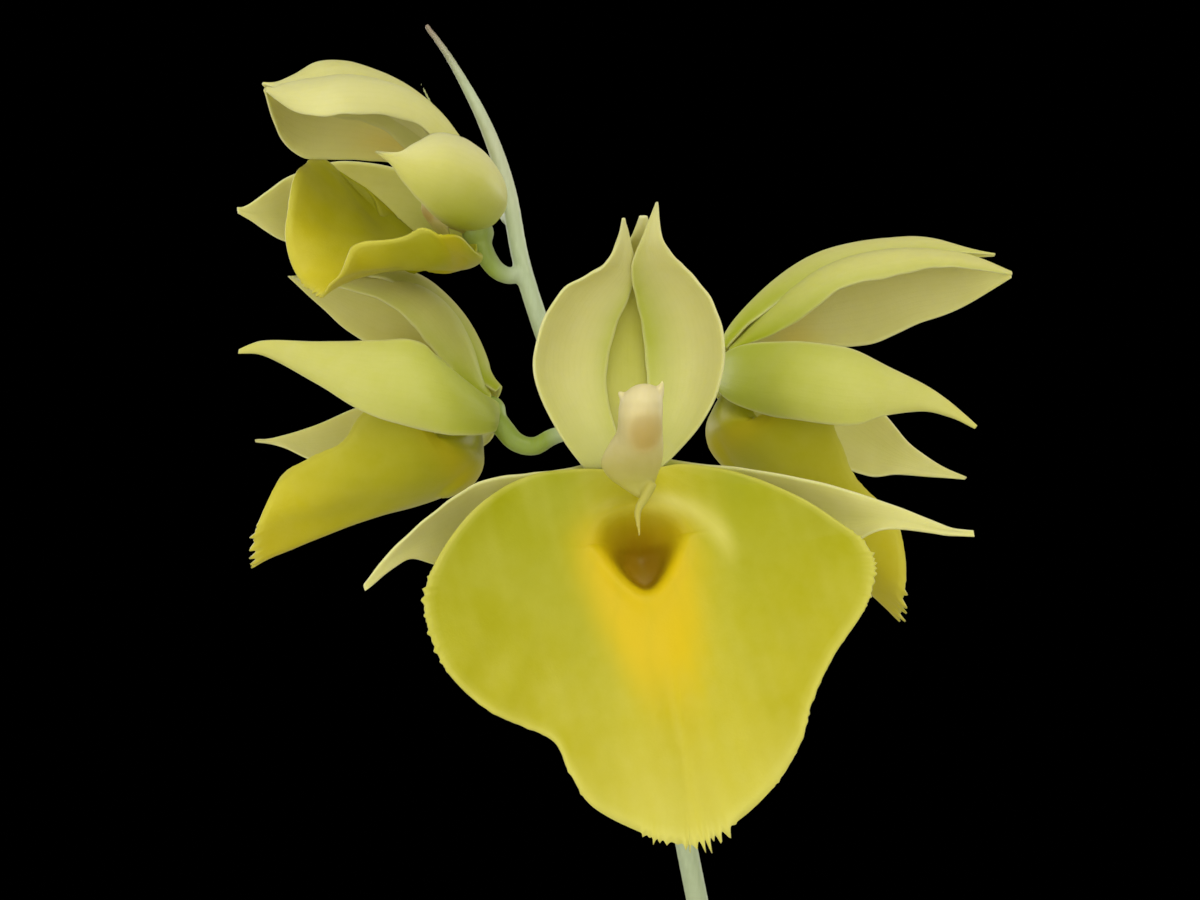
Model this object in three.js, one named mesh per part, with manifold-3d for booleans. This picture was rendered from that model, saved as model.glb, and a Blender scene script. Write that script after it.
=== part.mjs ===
// A potted Catasetum pileatum: one orchid in a clay pot, with an upright spike of four yellow-green flowers.
// Millimetres, +Z up. The origin is the centre of the pot's base, and the flowers face -Y.
import * as THREE from "three";
import { mergeVertices } from "three/addons/utils/BufferGeometryUtils.js";
import Module from "manifold-3d";

const wasm = await Module();
wasm.setup();

// Driving dimensions of the pot and what fills it.
const GAP = 0.35;
const POT = { height: 106, baseRadius: 41, topRadius: 57, wall: 4, rimHeight: 20, rimDepth: 4.5, sides: 36 };
const DRAIN = { count: 4, radius: 4, distance: 24 };
const MEDIUM = { top: 90, crown: 5, crownRadius: 30, chips: 26, spread: 39, chipLift: 0.6, seed: 11 };
const GOLDEN_ANGLE = 2.39996;

// Pseudobulbs: foot position, height, greatest radius and lean in degrees.
const BULB_FOOT = 78;
const BULBS = {
  pseudobulb_lead: { at: [6, 4], height: 137, radius: 14, lean: 2 },
  pseudobulb_back_1: { at: [35, 12], height: 104, radius: 12, lean: 3 },
  pseudobulb_back_2: { at: [-20, 31], height: 78, radius: 11.5, lean: 3 },
  pseudobulb_back_3: { at: [11, 35], height: 90, radius: 11, lean: -2 },
};
const BULB_SHAPE = [0.42, 0.62, 0.84, 0.98, 1, 0.94, 0.8, 0.6, 0.4, 0.2];
const BULB_RINGS = { count: 6, raise: 0.5 };
const BULB_SIDES = 12;
const BULB_POINT = 2;

// Leaves of the lead pseudobulb: height of the foot, compass angle from +X, reach, rise, drop and half-width.
const LEAVES = [
  { foot: 150, angle: 158, reach: 128, rise: 74, drop: 62, width: 17 },
  { foot: 163, angle: -24, reach: 150, rise: 92, drop: 78, width: 19 },
  { foot: 176, angle: 172, reach: 152, rise: 82, drop: 70, width: 20 },
  { foot: 187, angle: -8, reach: 158, rise: 88, drop: 58, width: 20 },
  { foot: 197, angle: 134, reach: 136, rise: 76, drop: 50, width: 18 },
  { foot: 204, angle: 22, reach: 118, rise: 78, drop: 22, width: 16 },
];
const LEAF_SHAPE = [0.2, 0.42, 0.8, 1, 0.96, 0.72, 0.38, 0.03];
const LEAF_HALF = 0.5;
const PLEATS = { count: 4, height: 1.3 };

// The flower spike: its path from the growing medium to its bare tip, with the radius at each point.
const SPIKE_PATH = [
  [-7, -8, 76], [-9, -9, 100], [-17, -11, 140], [-30, -12, 200], [-43, -13, 255], [-52, -17, 300],
  [-60, -28, 338], [-69.5, -36.5, 371], [-76, -40, 390], [-81, -42, 403.5], [-85, -43.5, 416.5],
  [-87.6, -45.5, 430], [-91.8, -47, 442], [-98, -48.6, 453.5], [-103, -49.5, 460.5],
];
const SPIKE_RADIUS = [3.1, 3, 2.8, 2.6, 2.4, 2.2, 2.1, 2, 1.9, 1.85, 1.8, 1.6, 1.5, 1.2, 0.5];
const LEAST_HALF_WIDTH = 0.35;
const EDGE_SHARE = 0.7;
const BUD_STALK = [[-87.5, -43.5, 424], [-92, -38, 432], [-98, -35, 440], [-105.4, -34, 454.5]];
const RECEPTACLE = 3.1;
const OVARY = 2;

// Outline shapes of the tepals: half-width along the length as a share of the greatest half-width.
const DORSAL_SHAPE = [0.22, 0.62, 0.9, 1, 0.9, 0.58, 0.06];
const PETAL_SHAPE = [0.24, 0.74, 0.96, 1, 0.98, 0.62, 0.28, 0.05];
const BLUNT_SHAPE = [0.2, 0.68, 0.94, 1, 1, 0.84, 0.08];
const LATERAL_SHAPE = [0.26, 0.84, 1, 0.92, 0.62, 0.3, 0.06];
const SPOON_SHAPE = [0.3, 0.84, 1, 1, 0.98, 0.74, 0.05];

// The lip laid flat: its two halves from the base to the tip, across and along, with the pouch near the base.
const LIP_RIGHT = [
  [0, -0.8], [4, -1.8], [9.5, -3], [19.5, -1.6], [28, 2.3], [34.5, 8.5], [37.5, 15], [36, 21], [32, 27.5],
  [25.5, 36], [20, 44], [16.5, 50], [12.5, 56.5], [6.8, 63.5], [0, 67],
];
const LIP_LEFT = [
  [0, -0.8], [4, -1.8], [9.5, -3], [18, -1.8], [25, 2.3], [32, 9], [36, 15], [38, 21], [37, 28],
  [32.5, 36], [22.5, 43.5], [19.5, 50], [15.5, 56.5], [6.5, 63.5], [0, 67],
];
const LIP = {
  length: 67, reach: 36, half: 0.5, least: 13,
  teethFrom: 0.52, tooth: 0.55, fringeFrom: 0.87, fringe: 1.5,
};
const LIP_WAVE = 0.5;
const LIP_WAVE_REACH = 30;
const POUCH_RINGS = [3.4, 6.4, 9];
const LIP_RINGS = [0.4, 0.72, 1];
const OPEN_LIP_GRID = { ring: 44, rim: 88 };
const SIDE_LIP_GRID = { ring: 32, rim: 64 };
const POUCH = { along: 12.5, across: 5.6, least: 1.5, border: 2, depth: 7.5, taper: 0.3, reach: 6.2 };

// Flower shapes in the flower's own frame: x to its right, y up and z out of its face.
// Each tepal is a Bezier spine with its greatest half-width and the angle its edges bend towards its focus.
const OPEN = {
  dorsal: { spine: [[0, 3.9, -1.4], [0, 17, -3], [0, 35, 3], [1, 40.5, 17]], width: 7.5, cup: 0.5 },
  petals: [
    { spine: [[-2.9, 2.4, 1], [-15.5, 8.5, 2], [-7, 24, 6.5], [-2.5, 40, 19]], width: 7.2, cup: 0.5 },
    { spine: [[2.9, 2.4, 1], [14, 8.5, 2.5], [5, 25, 8.5], [3, 40.5, 20]], width: 7.2, cup: 0.5 },
  ],
  laterals: [
    { spine: [[-3.9, -0.9, -1.2], [-14, -8, -4], [-31, -7, 5], [-42.6, -19.7, 20]], width: 7, cup: 0.3 },
    { spine: [[3.9, -0.9, -1.2], [15, -9, -4], [36, -8, 4], [53, -12, 13]], width: 7, cup: 0.3 },
  ],
  lip: { spine: [[0, -4.2, 2], [1, -22, 7], [7, -45, 9], [9, -65, 13]], fold: 0.5, scale: 1, tilt: 0, sweep: 0 },
  column: { path: [[0, 0.9, 3.7], [0, 3, 14], [1.5, 9.5, 23]], antennae: [[1.5, 4, 17], [0.6, -12, 22]] },
};
const HALF_OPEN = {
  dorsal: { spine: [[0, 3.9, -1.4], [0, 19, 1.5], [0, 33, 17], [0, 27, 39]], width: 6.5, cup: 0.3 },
  petals: [-1, 1].map((side) => ({
    spine: [[side * 2.9, 2.4, 1], [side * 9, 13, 4.5], [side * 12, 24, 18], [side * 2.6, 24, 40]],
    width: 7.8, cup: 0.45, focus: [0, 9, 15],
  })),
  laterals: [
    { spine: [[-3.9, -0.9, -1.2], [-26, -1, 1], [-29.5, 3, 28], [-22, -1, 48.5]], width: 7.6, cup: 0.3 },
    { spine: [[3.9, -0.9, -1.2], [26, -3, 1], [29.5, 1, 26], [23, 6.5, 44.5]], width: 7.6, cup: 0.3 },
  ],
  lip: {
    spine: [[0, -4.2, 2], [0, -15, 0], [0, -18, 22], [0, -30, 44.5]],
    fold: 1.45, scale: 0.83, tilt: 0, sweep: 2.5,
  },
  column: { path: [[0, 0.9, 3.7], [0, 4, 13], [0, 7, 22]], antennae: [[0, 2, 17], [0, -8, 21]] },
};
const RAISED = {
  ...HALF_OPEN,
  dorsal: { spine: [[0, 3.9, -1.4], [0, 20, -2], [0, 38, 14], [0, 41, 40]], width: 7.5, cup: 0.5 },
  petals: [
    {
      spine: [[-2.9, 2.4, 1], [-9, 15, 3], [-12, 31, 19], [-2.6, 37.5, 44]],
      width: 8, cup: 0.45, focus: [0, 12, 20], shape: BLUNT_SHAPE,
    },
    {
      spine: [[2.9, 2.4, 1], [9, 14, 3], [12.5, 27, 20], [2.6, 36, 43]],
      width: 8.4, cup: 0.45, focus: [0, 15, 20], shape: BLUNT_SHAPE,
    },
  ],
  laterals: [
    { spine: [[-3.9, -0.9, -1.2], [-26, -3, 1], [-29.5, 1, 26], [-22, 3.5, 46]], width: 7.6, cup: 0.3 },
    { spine: [[3.9, -0.9, -1.2], [26, -1, 1], [29.5, 3, 28], [22, 2.5, 53]], width: 7.6, cup: 0.3 },
  ],
  lip: {
    spine: [[0, -4.2, 2], [0, -15, -1], [0, -18.5, 19], [0, -31.5, 45]],
    fold: 1.45, scale: 0.83, tilt: 0, sweep: 2.5,
  },
};
const SPOONED = {
  ...HALF_OPEN,
  dorsal: { spine: [[0, 3.9, -1.4], [0, 21.8, 0.2], [0, 34.6, 20.5], [0, 22.7, 43]], width: 6.5, cup: 0.3 },
  petals: [-1, 1].map((side) => ({
    spine: [[side * 2.9, 2.4, 1], [side * 9.5, 11.5, 5], [side * 13.5, 22, 22.5], [side * 2.8, 19.5, 42]],
    width: 8.4, cup: 0.45, focus: [0, 12.5, 15], shape: BLUNT_SHAPE,
  })),
  laterals: [
    { spine: [[-3.9, -0.9, -1.2], [-30, 0, 0], [-36, 7, 20], [-24, 2.8, 39.5]], width: 7.6, cup: 0.3 },
    {
      spine: [[3.9, -0.9, -1.2], [22, 5, -4], [32, 4.5, 20], [21, 7, 31]],
      width: 8.8, cup: 0.7, shape: SPOON_SHAPE,
    },
  ],
  lip: {
    spine: [[0, -4.2, 2], [0, -8, 3], [0, -4, 26], [0, -16, 31]],
    fold: 1.2, scale: 0.74, tilt: -20, sweep: 12,
  },
  column: { path: [[0, 0.9, 3.7], [0, 3.2, 10], [0, 5.4, 15.5]], antennae: [[0, 2.4, 12], [0, -1, 16]] },
};

// Where each flower sits, which way it faces (from -Y towards +X, and above the horizon) and its pedicel's way.
const FLOWERS = {
  flower_1: {
    shape: OPEN, at: [-64, -75, 374], azimuth: 0, elevation: -8, roll: 0,
    pedicel: [[-69.5, -36.5, 369], [-68.5, -46, 363], [-66.5, -60, 364.5], [-64.5, -70, 371]],
  },
  flower_2: {
    shape: SPOONED, at: [-93, -46, 421], azimuth: -60, elevation: 0, roll: -6,
    pedicel: [[-84.6, -43.4, 414], [-87, -44, 413.2], [-89.6, -45, 414.2], [-91.8, -46, 417.3]],
  },
  flower_3: {
    shape: HALF_OPEN, at: [-91, -36.5, 388.5], azimuth: -90, elevation: 0, roll: 5,
    pedicel: [
      [-74.5, -39.5, 384.5], [-79, -38, 383.4], [-82.5, -37, 381.7], [-86, -36.5, 382.6], [-88.5, -36.5, 385.3],
    ],
  },
  flower_4: {
    shape: RAISED, at: [-46.7, -37.5, 396], azimuth: 90, elevation: -22, roll: 0,
    pedicel: [[-75.5, -39.5, 388], [-70, -38, 384.5], [-60, -37, 386.5], [-51.5, -37.5, 392.5]],
  },
};

const COLOURS = {
  clay: "#b4653f", bark: "#6e4a30", bulb: "#8f9c55", leaf: "#5d7f35", spike: "#a9b98a",
  tepal: "#d6da8c", lip: "#cfc63a", column: "#e6dcae",
};
const DULL = ["clay", "bark"];
const material = Object.fromEntries(
  Object.entries(COLOURS).map(([name, color]) => [
    name,
    new THREE.MeshStandardMaterial({ color, roughness: DULL.includes(name) ? 0.9 : 0.5, metalness: 0 }),
  ]),
);

// A smooth curve through evenly spaced values, read at t from 0 to 1.
function smooth(values, t) {
  const last = values.length - 1;
  const x = Math.min(Math.max(t, 0), 1) * last;
  const i = Math.min(Math.floor(x), last - 1);
  const [a, b, c, d] = [-1, 0, 1, 2].map((k) => values[Math.min(Math.max(i + k, 0), last)]);
  const f = x - i;
  return b + 0.5 * f * (c - a + f * (2 * a - 5 * b + 4 * c - d + f * (3 * (b - c) + d - a)));
}

const vector = (p) => new THREE.Vector3(...p);

// Repeatable random numbers from 0 to 1.
function seeded(seed) {
  let state = seed;
  return () => {
    state = (state * 1664525 + 1013904223) % 4294967296;
    return state / 4294967296;
  };
}

function geometryOf(positions, faces) {
  const geometry = new THREE.BufferGeometry();
  const numbers = positions.flatMap((p) => [p.x, p.y, p.z]);
  geometry.setAttribute("position", new THREE.Float32BufferAttribute(numbers, 3));
  geometry.setIndex(faces.flat());
  return geometry;
}

function solidOf(geometry) {
  const bare = geometry.clone();
  bare.deleteAttribute("normal");
  bare.deleteAttribute("uv");
  const merged = mergeVertices(bare, 1e-4);
  const vertProperties = merged.attributes.position.array;
  const triVerts = new Uint32Array(merged.index.array);
  return new wasm.Manifold(new wasm.Mesh({ numProp: 3, vertProperties, triVerts }));
}

function geometryOfSolid(solid) {
  const { vertProperties, triVerts } = solid.getMesh();
  const geometry = new THREE.BufferGeometry();
  geometry.setAttribute("position", new THREE.BufferAttribute(new Float32Array(vertProperties), 3));
  geometry.setIndex(new THREE.BufferAttribute(new Uint32Array(triVerts), 1));
  return geometry;
}

const joined = (geometries) => geometries.map(solidOf).reduce((whole, part) => whole.add(part));

// Thickens an open surface to both sides, with the same triangles on both faces and a rim round its edge.
function thicken(points, triangles, halves) {
  const normals = points.map(() => new THREE.Vector3());
  for (const corners of triangles) {
    const [a, b, c] = corners.map((i) => points[i]);
    const normal = b.clone().sub(a).cross(c.clone().sub(a));
    corners.forEach((i) => normals[i].add(normal));
  }
  normals.forEach((normal) => normal.normalize());
  const offset = (sign) => points.map((p, i) => p.clone().addScaledVector(normals[i], sign * halves[i]));
  const count = points.length;
  const edges = new Set(triangles.flatMap(([a, b, c]) => [`${a},${b}`, `${b},${c}`, `${c},${a}`]));
  const faces = triangles.flatMap(([a, b, c]) => [[a, b, c], [c + count, b + count, a + count]]);
  for (const [a, b, c] of triangles) {
    for (const [i, j] of [[a, b], [b, c], [c, a]]) {
      if (!edges.has(`${j},${i}`)) faces.push([j, i, i + count], [j, i + count, j + count]);
    }
  }
  return geometryOf([...offset(1), ...offset(-1)], faces);
}

// A blade along a Bezier spine. Its inner face looks at the focus, and its edges bend towards that face.
function blade({ spine, width, cup, shape, focus, rows, columns, half, lift = () => 0 }) {
  const curve = new THREE.CubicBezierCurve3(...spine.map(vector));
  const points = [];
  for (let i = 0; i <= rows; i++) {
    const t = i / rows;
    const centre = curve.getPointAt(t);
    const along = curve.getTangentAt(t);
    const across = along.clone().cross(vector(focus).sub(centre)).normalize();
    const inward = across.clone().cross(along);
    const w = Math.max(width * smooth(shape, t), LEAST_HALF_WIDTH);
    for (let j = 0; j <= columns; j++) {
      const q = (2 * j) / columns - 1;
      const side = (w * Math.sin(q * cup)) / cup;
      const rise = (w * (1 - Math.cos(q * cup))) / cup + lift(q, t);
      points.push(centre.clone().addScaledVector(across, side).addScaledVector(inward, rise));
    }
  }
  const triangles = [];
  const at = (i, j) => i * (columns + 1) + j;
  for (let i = 0; i < rows; i++) {
    for (let j = 0; j < columns; j++) {
      const [a, b, c, d] = [at(i, j), at(i, j + 1), at(i + 1, j), at(i + 1, j + 1)];
      triangles.push([a, b, d], [a, d, c]);
    }
  }
  const thickness = points.map((_, i) => half * (i % (columns + 1) % columns === 0 ? EDGE_SHARE : 1));
  return thicken(points, triangles, thickness);
}

// A closed round tube along a path of points, with its radius at each point.
function tube(path, radii, sides = 8, rows = path.length * 2) {
  const curve = new THREE.CatmullRomCurve3(path.map(vector), false, "centripetal");
  const frames = curve.computeFrenetFrames(rows, false);
  const points = [];
  for (let i = 0; i <= rows; i++) {
    const centre = curve.getPointAt(i / rows);
    const radius = smooth(radii, i / rows);
    for (let j = 0; j < sides; j++) {
      const angle = (2 * Math.PI * j) / sides;
      points.push(
        centre.clone()
          .addScaledVector(frames.normals[i], radius * Math.cos(angle))
          .addScaledVector(frames.binormals[i], radius * Math.sin(angle)),
      );
    }
  }
  const faces = [];
  for (let i = 0; i < rows; i++) {
    for (let j = 0; j < sides; j++) {
      const [a, b] = [i * sides + j, i * sides + ((j + 1) % sides)];
      faces.push([a, b, b + sides], [a, b + sides, a + sides]);
    }
  }
  for (let j = 1; j < sides - 1; j++) {
    faces.push([0, j + 1, j], [rows * sides, rows * sides + j, rows * sides + j + 1]);
  }
  return geometryOf(points, faces);
}

// A solid of revolution about Z, from its profile of radius and height.
function lathe(profile, sides) {
  const turned = new THREE.LatheGeometry(profile.map(([r, z]) => new THREE.Vector2(r, z)), sides);
  return turned.rotateX(Math.PI / 2);
}

function innerRadius(z) {
  const share = (z - POT.wall) / (POT.height - POT.wall);
  return POT.baseRadius - POT.wall + share * (POT.topRadius - POT.baseRadius);
}

// The clay pot: a tapered wall with a raised rim band, an outer profile and back down inside.
function potGeometry() {
  const { height, baseRadius, topRadius, wall, rimHeight, rimDepth, sides } = POT;
  const shoulder = height - rimHeight;
  const outer = (z) => baseRadius + ((topRadius - baseRadius) * z) / height;
  const body = solidOf(
    lathe(
      [
        [0, 0], [baseRadius - 1.5, 0], [outer(1.5), 1.5], [outer(shoulder), shoulder],
        [outer(shoulder) + rimDepth - 1, shoulder + 1], [topRadius + rimDepth, height - 1.5],
        [topRadius + rimDepth - 1.5, height], [innerRadius(height) + 0.5, height],
        [innerRadius(height - 1), height - 1], [innerRadius(wall), wall], [0, wall],
      ],
      sides,
    ),
  );
  let pot = body;
  for (let i = 0; i < DRAIN.count; i++) {
    const angle = (2 * Math.PI * (i + 0.5)) / DRAIN.count;
    const drill = new THREE.CylinderGeometry(DRAIN.radius, DRAIN.radius, 3 * POT.wall, 12).rotateX(Math.PI / 2);
    drill.translate(DRAIN.distance * Math.cos(angle), DRAIN.distance * Math.sin(angle), 0);
    pot = pot.subtract(solidOf(drill));
  }
  return geometryOfSolid(pot);
}

// A pseudobulb is spindle-shaped, with a raised ring at each node. Grown by a gap, it cuts its own seat.
function bulbGeometry({ at, height, radius, lean }, grow = 0) {
  const rows = BULB_RINGS.count * 2 + 2;
  const profile = [[0, -grow]];
  for (let i = 0; i <= rows; i++) {
    const ring = i % 2 === 0 && i > 0 && i < rows ? BULB_RINGS.raise : 0;
    const level = (height * i) / rows + (i > 0 ? grow : -grow);
    profile.push([radius * smooth(BULB_SHAPE, i / rows) + ring + grow, level]);
  }
  profile.push([0, height + BULB_POINT + grow]);
  const bulb = lathe(profile, BULB_SIDES);
  return bulb.rotateY(THREE.MathUtils.degToRad(lean)).translate(at[0], at[1], BULB_FOOT);
}

// Bark: a bed that fills the pot, with chips sunk into its top and seats cut for what stands in it.
function mediumSolid(seats) {
  const { top, crown, crownRadius, chips, spread, chipLift, seed } = MEDIUM;
  const foot = POT.wall + GAP;
  const bed = lathe(
    [
      [0, foot], [innerRadius(foot) - GAP, foot], [innerRadius(top) - GAP, top],
      [crownRadius, top + crown], [0, top + crown + 1],
    ],
    POT.sides,
  );
  const random = seeded(seed);
  let medium = solidOf(bed);
  for (let i = 0; i < chips; i++) {
    const angle = i * GOLDEN_ANGLE;
    const distance = spread * Math.sqrt((i + 0.6) / chips);
    const chip = new THREE.BoxGeometry(9 + 6 * random(), 6 + 4 * random(), 3.5 + 2.5 * random());
    chip.rotateX(0.7 * (random() - 0.5)).rotateY(0.7 * (random() - 0.5)).rotateZ(Math.PI * random());
    const level = top + crown * (1 - distance / (2 * crownRadius)) + chipLift;
    chip.translate(distance * Math.cos(angle), distance * Math.sin(angle), level);
    medium = medium.add(solidOf(chip));
  }
  return seats.reduce((rest, seat) => rest.subtract(seat), medium);
}

// A pleated leaf springs from the pseudobulb's side, arches outwards and droops to a point.
function leafGeometry({ foot, angle, reach, rise, drop, width }) {
  const { at, height, radius, lean } = BULBS.pseudobulb_lead;
  const share = (foot - BULB_FOOT) / height;
  const offset = radius * smooth(BULB_SHAPE, share) + BULB_RINGS.raise + GAP + LEAF_HALF;
  const leanShift = Math.sin(THREE.MathUtils.degToRad(lean)) * (foot - BULB_FOOT);
  const spine = [
    [offset, 0, foot], [offset + 0.12 * reach, 0, foot + 0.75 * rise],
    [offset + 0.62 * reach, 0, foot + 1.25 * rise], [offset + reach, 0, foot + rise - drop],
  ];
  const pleat = (q, t) => PLEATS.height * Math.min(1, 4 * t) * (1 - t) * Math.cos(Math.PI * PLEATS.count * q);
  const leaf = blade({
    spine, width, cup: 0.35, shape: LEAF_SHAPE, focus: [-200, 0, 900],
    rows: 9, columns: 2 * PLEATS.count, half: LEAF_HALF, lift: pleat,
  });
  return leaf.rotateZ(THREE.MathUtils.degToRad(angle)).translate(at[0] + leanShift, at[1], 0);
}

// Tepals look at a point in front of the flower unless they have a focus of their own.
const FLOWER_FOCUS = [0, 0, 60];

function tepal(form, shape) {
  return blade({ shape, focus: FLOWER_FOCUS, rows: 9, columns: 4, half: 0.45, ...form });
}

// The lip's edge, as two flat halves with fine teeth at the sides and a longer fringe at the tip.
function lipEdge(steps) {
  const { teethFrom, tooth, fringeFrom, fringe } = LIP;
  const half = (outline, side) => {
    const [across, along] = [0, 1].map((k) => outline.map((point) => point[k]));
    return Array.from({ length: steps + 1 }, (_, i) => {
      const t = i / steps;
      const size = t > fringeFrom ? fringe : t > teethFrom ? tooth : 0;
      const out = (i % 2 ? 1 : -1) * (i < steps ? size : 0);
      const [sideways, onwards] = t > fringeFrom ? [0, out] : [out, 0];
      return [side * (smooth(across, t) + sideways), smooth(along, t) + onwards];
    });
  };
  return [...half(LIP_RIGHT, 1), ...half(LIP_LEFT, -1).slice(1, -1).reverse()];
}

function lipHalfWidth(along) {
  const past = LIP_RIGHT.findIndex((point, i) => i > 4 && point[1] > along);
  if (past < 0) return LIP.least;
  const [[a, from], [b, to]] = [LIP_RIGHT[past - 1], LIP_RIGHT[past]];
  return Math.max(LIP.least, a + ((b - a) * Math.max(along - from, 0)) / (to - from));
}

function pouchDepth(across, along) {
  const { along: middle, across: halfWidth, least, border, depth, taper, reach } = POUCH;
  const w = Math.max(halfWidth - taper * (along - middle + reach), least);
  const distance = Math.hypot(across / (w + border), (along - middle) / reach);
  return depth * Math.exp(-1.6 * distance ** 2.6);
}

// The lip: a fringed shell with a pouch, folded forwards at its sides by the angle of its fold.
function lipGeometry({ spine, fold, scale, tilt, sweep }, { ring, rim }) {
  const curve = new THREE.CubicBezierCurve3(...spine.map(vector));
  const lean = THREE.MathUtils.degToRad(tilt);
  const place = ([across, along]) => {
    const t = Math.max(along, 0) / LIP.length;
    const centre = curve.getPointAt(Math.min(t, 1));
    const down = curve.getTangentAt(Math.min(t, 1));
    const inward = new THREE.Vector3(-Math.cos(lean), -Math.sin(lean), 0).cross(down).normalize();
    const side = down.clone().cross(inward).negate();
    centre.addScaledVector(down, Math.min(along, 0) * scale + sweep * (across / LIP.reach) ** 2);
    const radius = (lipHalfWidth(along) * scale) / fold;
    const angle = (across * scale) / radius;
    const share = Math.min(1, Math.abs(across) / LIP_WAVE_REACH);
    const wave = LIP_WAVE * Math.sin(0.35 * along + 0.2 * Math.abs(across)) * share;
    const rise = radius * (1 - Math.cos(angle)) - pouchDepth(across, along) * scale + wave;
    return centre.addScaledVector(side, radius * Math.sin(angle)).addScaledVector(inward, rise);
  };
  const ringCount = POUCH_RINGS.length + LIP_RINGS.length;
  const points = [place([0, POUCH.along])];
  const edges = [lipEdge(ring / 2), lipEdge(rim / 2)];
  for (let k = 0; k < ringCount; k++) {
    for (const [across, along] of edges[k === ringCount - 1 ? 1 : 0]) {
      const far = Math.hypot(across, along - POUCH.along);
      const inner = POUCH_RINGS[Math.min(k, POUCH_RINGS.length - 1)] / Math.max(far, POUCH_RINGS[2] + 1);
      const share = k < POUCH_RINGS.length ? inner : inner + (1 - inner) * LIP_RINGS[k - POUCH_RINGS.length];
      points.push(place([across * share, POUCH.along + (along - POUCH.along) * share]));
    }
  }
  const triangles = [];
  const teeth = rim / ring;
  for (let j = 0; j < ring; j++) {
    const next = (j + 1) % ring;
    triangles.push([0, 1 + next, 1 + j]);
    for (let k = 0; k < ringCount - 2; k++) {
      const [a, b] = [1 + k * ring + j, 1 + k * ring + next];
      triangles.push([a, b, b + ring], [a, b + ring, a + ring]);
    }
    const [a, b] = [1 + (ringCount - 2) * ring + j, 1 + (ringCount - 2) * ring + next];
    const outer = (i) => 1 + (ringCount - 1) * ring + ((teeth * j + i) % rim);
    for (let i = 0; i < teeth; i++) triangles.push([i < teeth / 2 ? a : b, outer(i + 1), outer(i)]);
    triangles.push([a, b, outer(teeth / 2)]);
  }
  return thicken(points, triangles, points.map(() => LIP.half));
}

// The column: a club with its beak at the head and a pair of antennae that hang over the pouch.
function columnGeometry({ path, antennae }) {
  const head = vector(path[2]);
  const body = tube(path, [2, 2.5, 3, 3.4, 3.6, 2.6], 8, 7);
  const beak = tube([head.toArray(), head.clone().add(vector([0.6, 3.5, 0.6])).toArray()], [1.8, 0.4], 6, 3);
  const [root, tip] = antennae.map(vector);
  const feeler = [-1, 1].map((side) => {
    const start = root.clone().add(vector([side * 1.1, 2.5, -1.5]));
    const end = tip.clone().add(vector([side * 1.4, side * 1.2, 0]));
    const knee = start.clone().lerp(end, 0.5).add(vector([side * 0.5, 0, 1.5]));
    return tube([start.toArray(), knee.toArray(), end.toArray()], [1.3, 0.8, 0.4], 6, 5);
  });
  return geometryOfSolid(joined([body, beak, ...feeler]));
}

function flowerFrame({ at, azimuth, elevation, roll }) {
  const [a, e] = [azimuth, elevation].map(THREE.MathUtils.degToRad);
  const out = new THREE.Vector3(Math.sin(a) * Math.cos(e), -Math.cos(a) * Math.cos(e), Math.sin(e));
  const right = new THREE.Vector3(0, 0, 1).cross(out).normalize();
  const up = out.clone().cross(right);
  const frame = new THREE.Matrix4().makeBasis(right, up, out);
  frame.multiply(new THREE.Matrix4().makeRotationZ(THREE.MathUtils.degToRad(roll)));
  return frame.setPosition(...at);
}

function flowerGroup(name, flower) {
  const { dorsal, petals, laterals, lip, column } = flower.shape;
  const sides = ["left", "right"];
  const organs = {
    dorsal_sepal: [tepal(dorsal, DORSAL_SHAPE), material.tepal],
    lip: [lipGeometry(lip, flower.shape === OPEN ? OPEN_LIP_GRID : SIDE_LIP_GRID), material.lip],
    column: [columnGeometry(column), material.column],
  };
  sides.forEach((side, i) => {
    organs[`petal_${side}`] = [tepal(petals[i], PETAL_SHAPE), material.tepal];
    organs[`lateral_sepal_${side}`] = [tepal(laterals[i], LATERAL_SHAPE), material.tepal];
  });
  const group = new THREE.Group();
  for (const [organ, [geometry, look]] of Object.entries(organs)) {
    const mesh = new THREE.Mesh(geometry, look);
    mesh.name = `${name}_${organ}`;
    group.add(mesh);
  }
  group.applyMatrix4(flowerFrame(flower));
  return group;
}

function bractGeometry([x, y, z], turn) {
  const bract = blade({
    spine: [[0, 0, -1], [0.8, 0, 1.5], [2.4, 0, 4], [2.6, 0, 7]], width: 2.4, cup: 0.9,
    shape: [1, 0.9, 0.6, 0.15], focus: [-60, 0, 15], rows: 4, columns: 2, half: 0.45,
  });
  return bract.rotateZ(THREE.MathUtils.degToRad(turn)).translate(x, y, z);
}

// The spike: stem, pedicels with their receptacles, a bract at each pedicel, and one aborted bud's stalk.
function spikeGeometry() {
  const pieces = [tube(SPIKE_PATH, SPIKE_RADIUS, 7, 32), tube(BUD_STALK, [1.1, 0.9, 0.7, 0.35], 6, 8)];
  for (const { at, pedicel, azimuth } of Object.values(FLOWERS)) {
    pieces.push(tube([...pedicel, at], [1.4, 1.6, 1.8, OVARY, OVARY], 7, 10));
    pieces.push(new THREE.IcosahedronGeometry(RECEPTACLE, 1).translate(...at));
    pieces.push(bractGeometry(pedicel[0], azimuth - 90));
  }
  return geometryOfSolid(joined(pieces));
}

const group = new THREE.Group();

function addNode(name, geometry, look) {
  const mesh = new THREE.Mesh(geometry, look);
  mesh.name = name;
  group.add(mesh);
}

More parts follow.
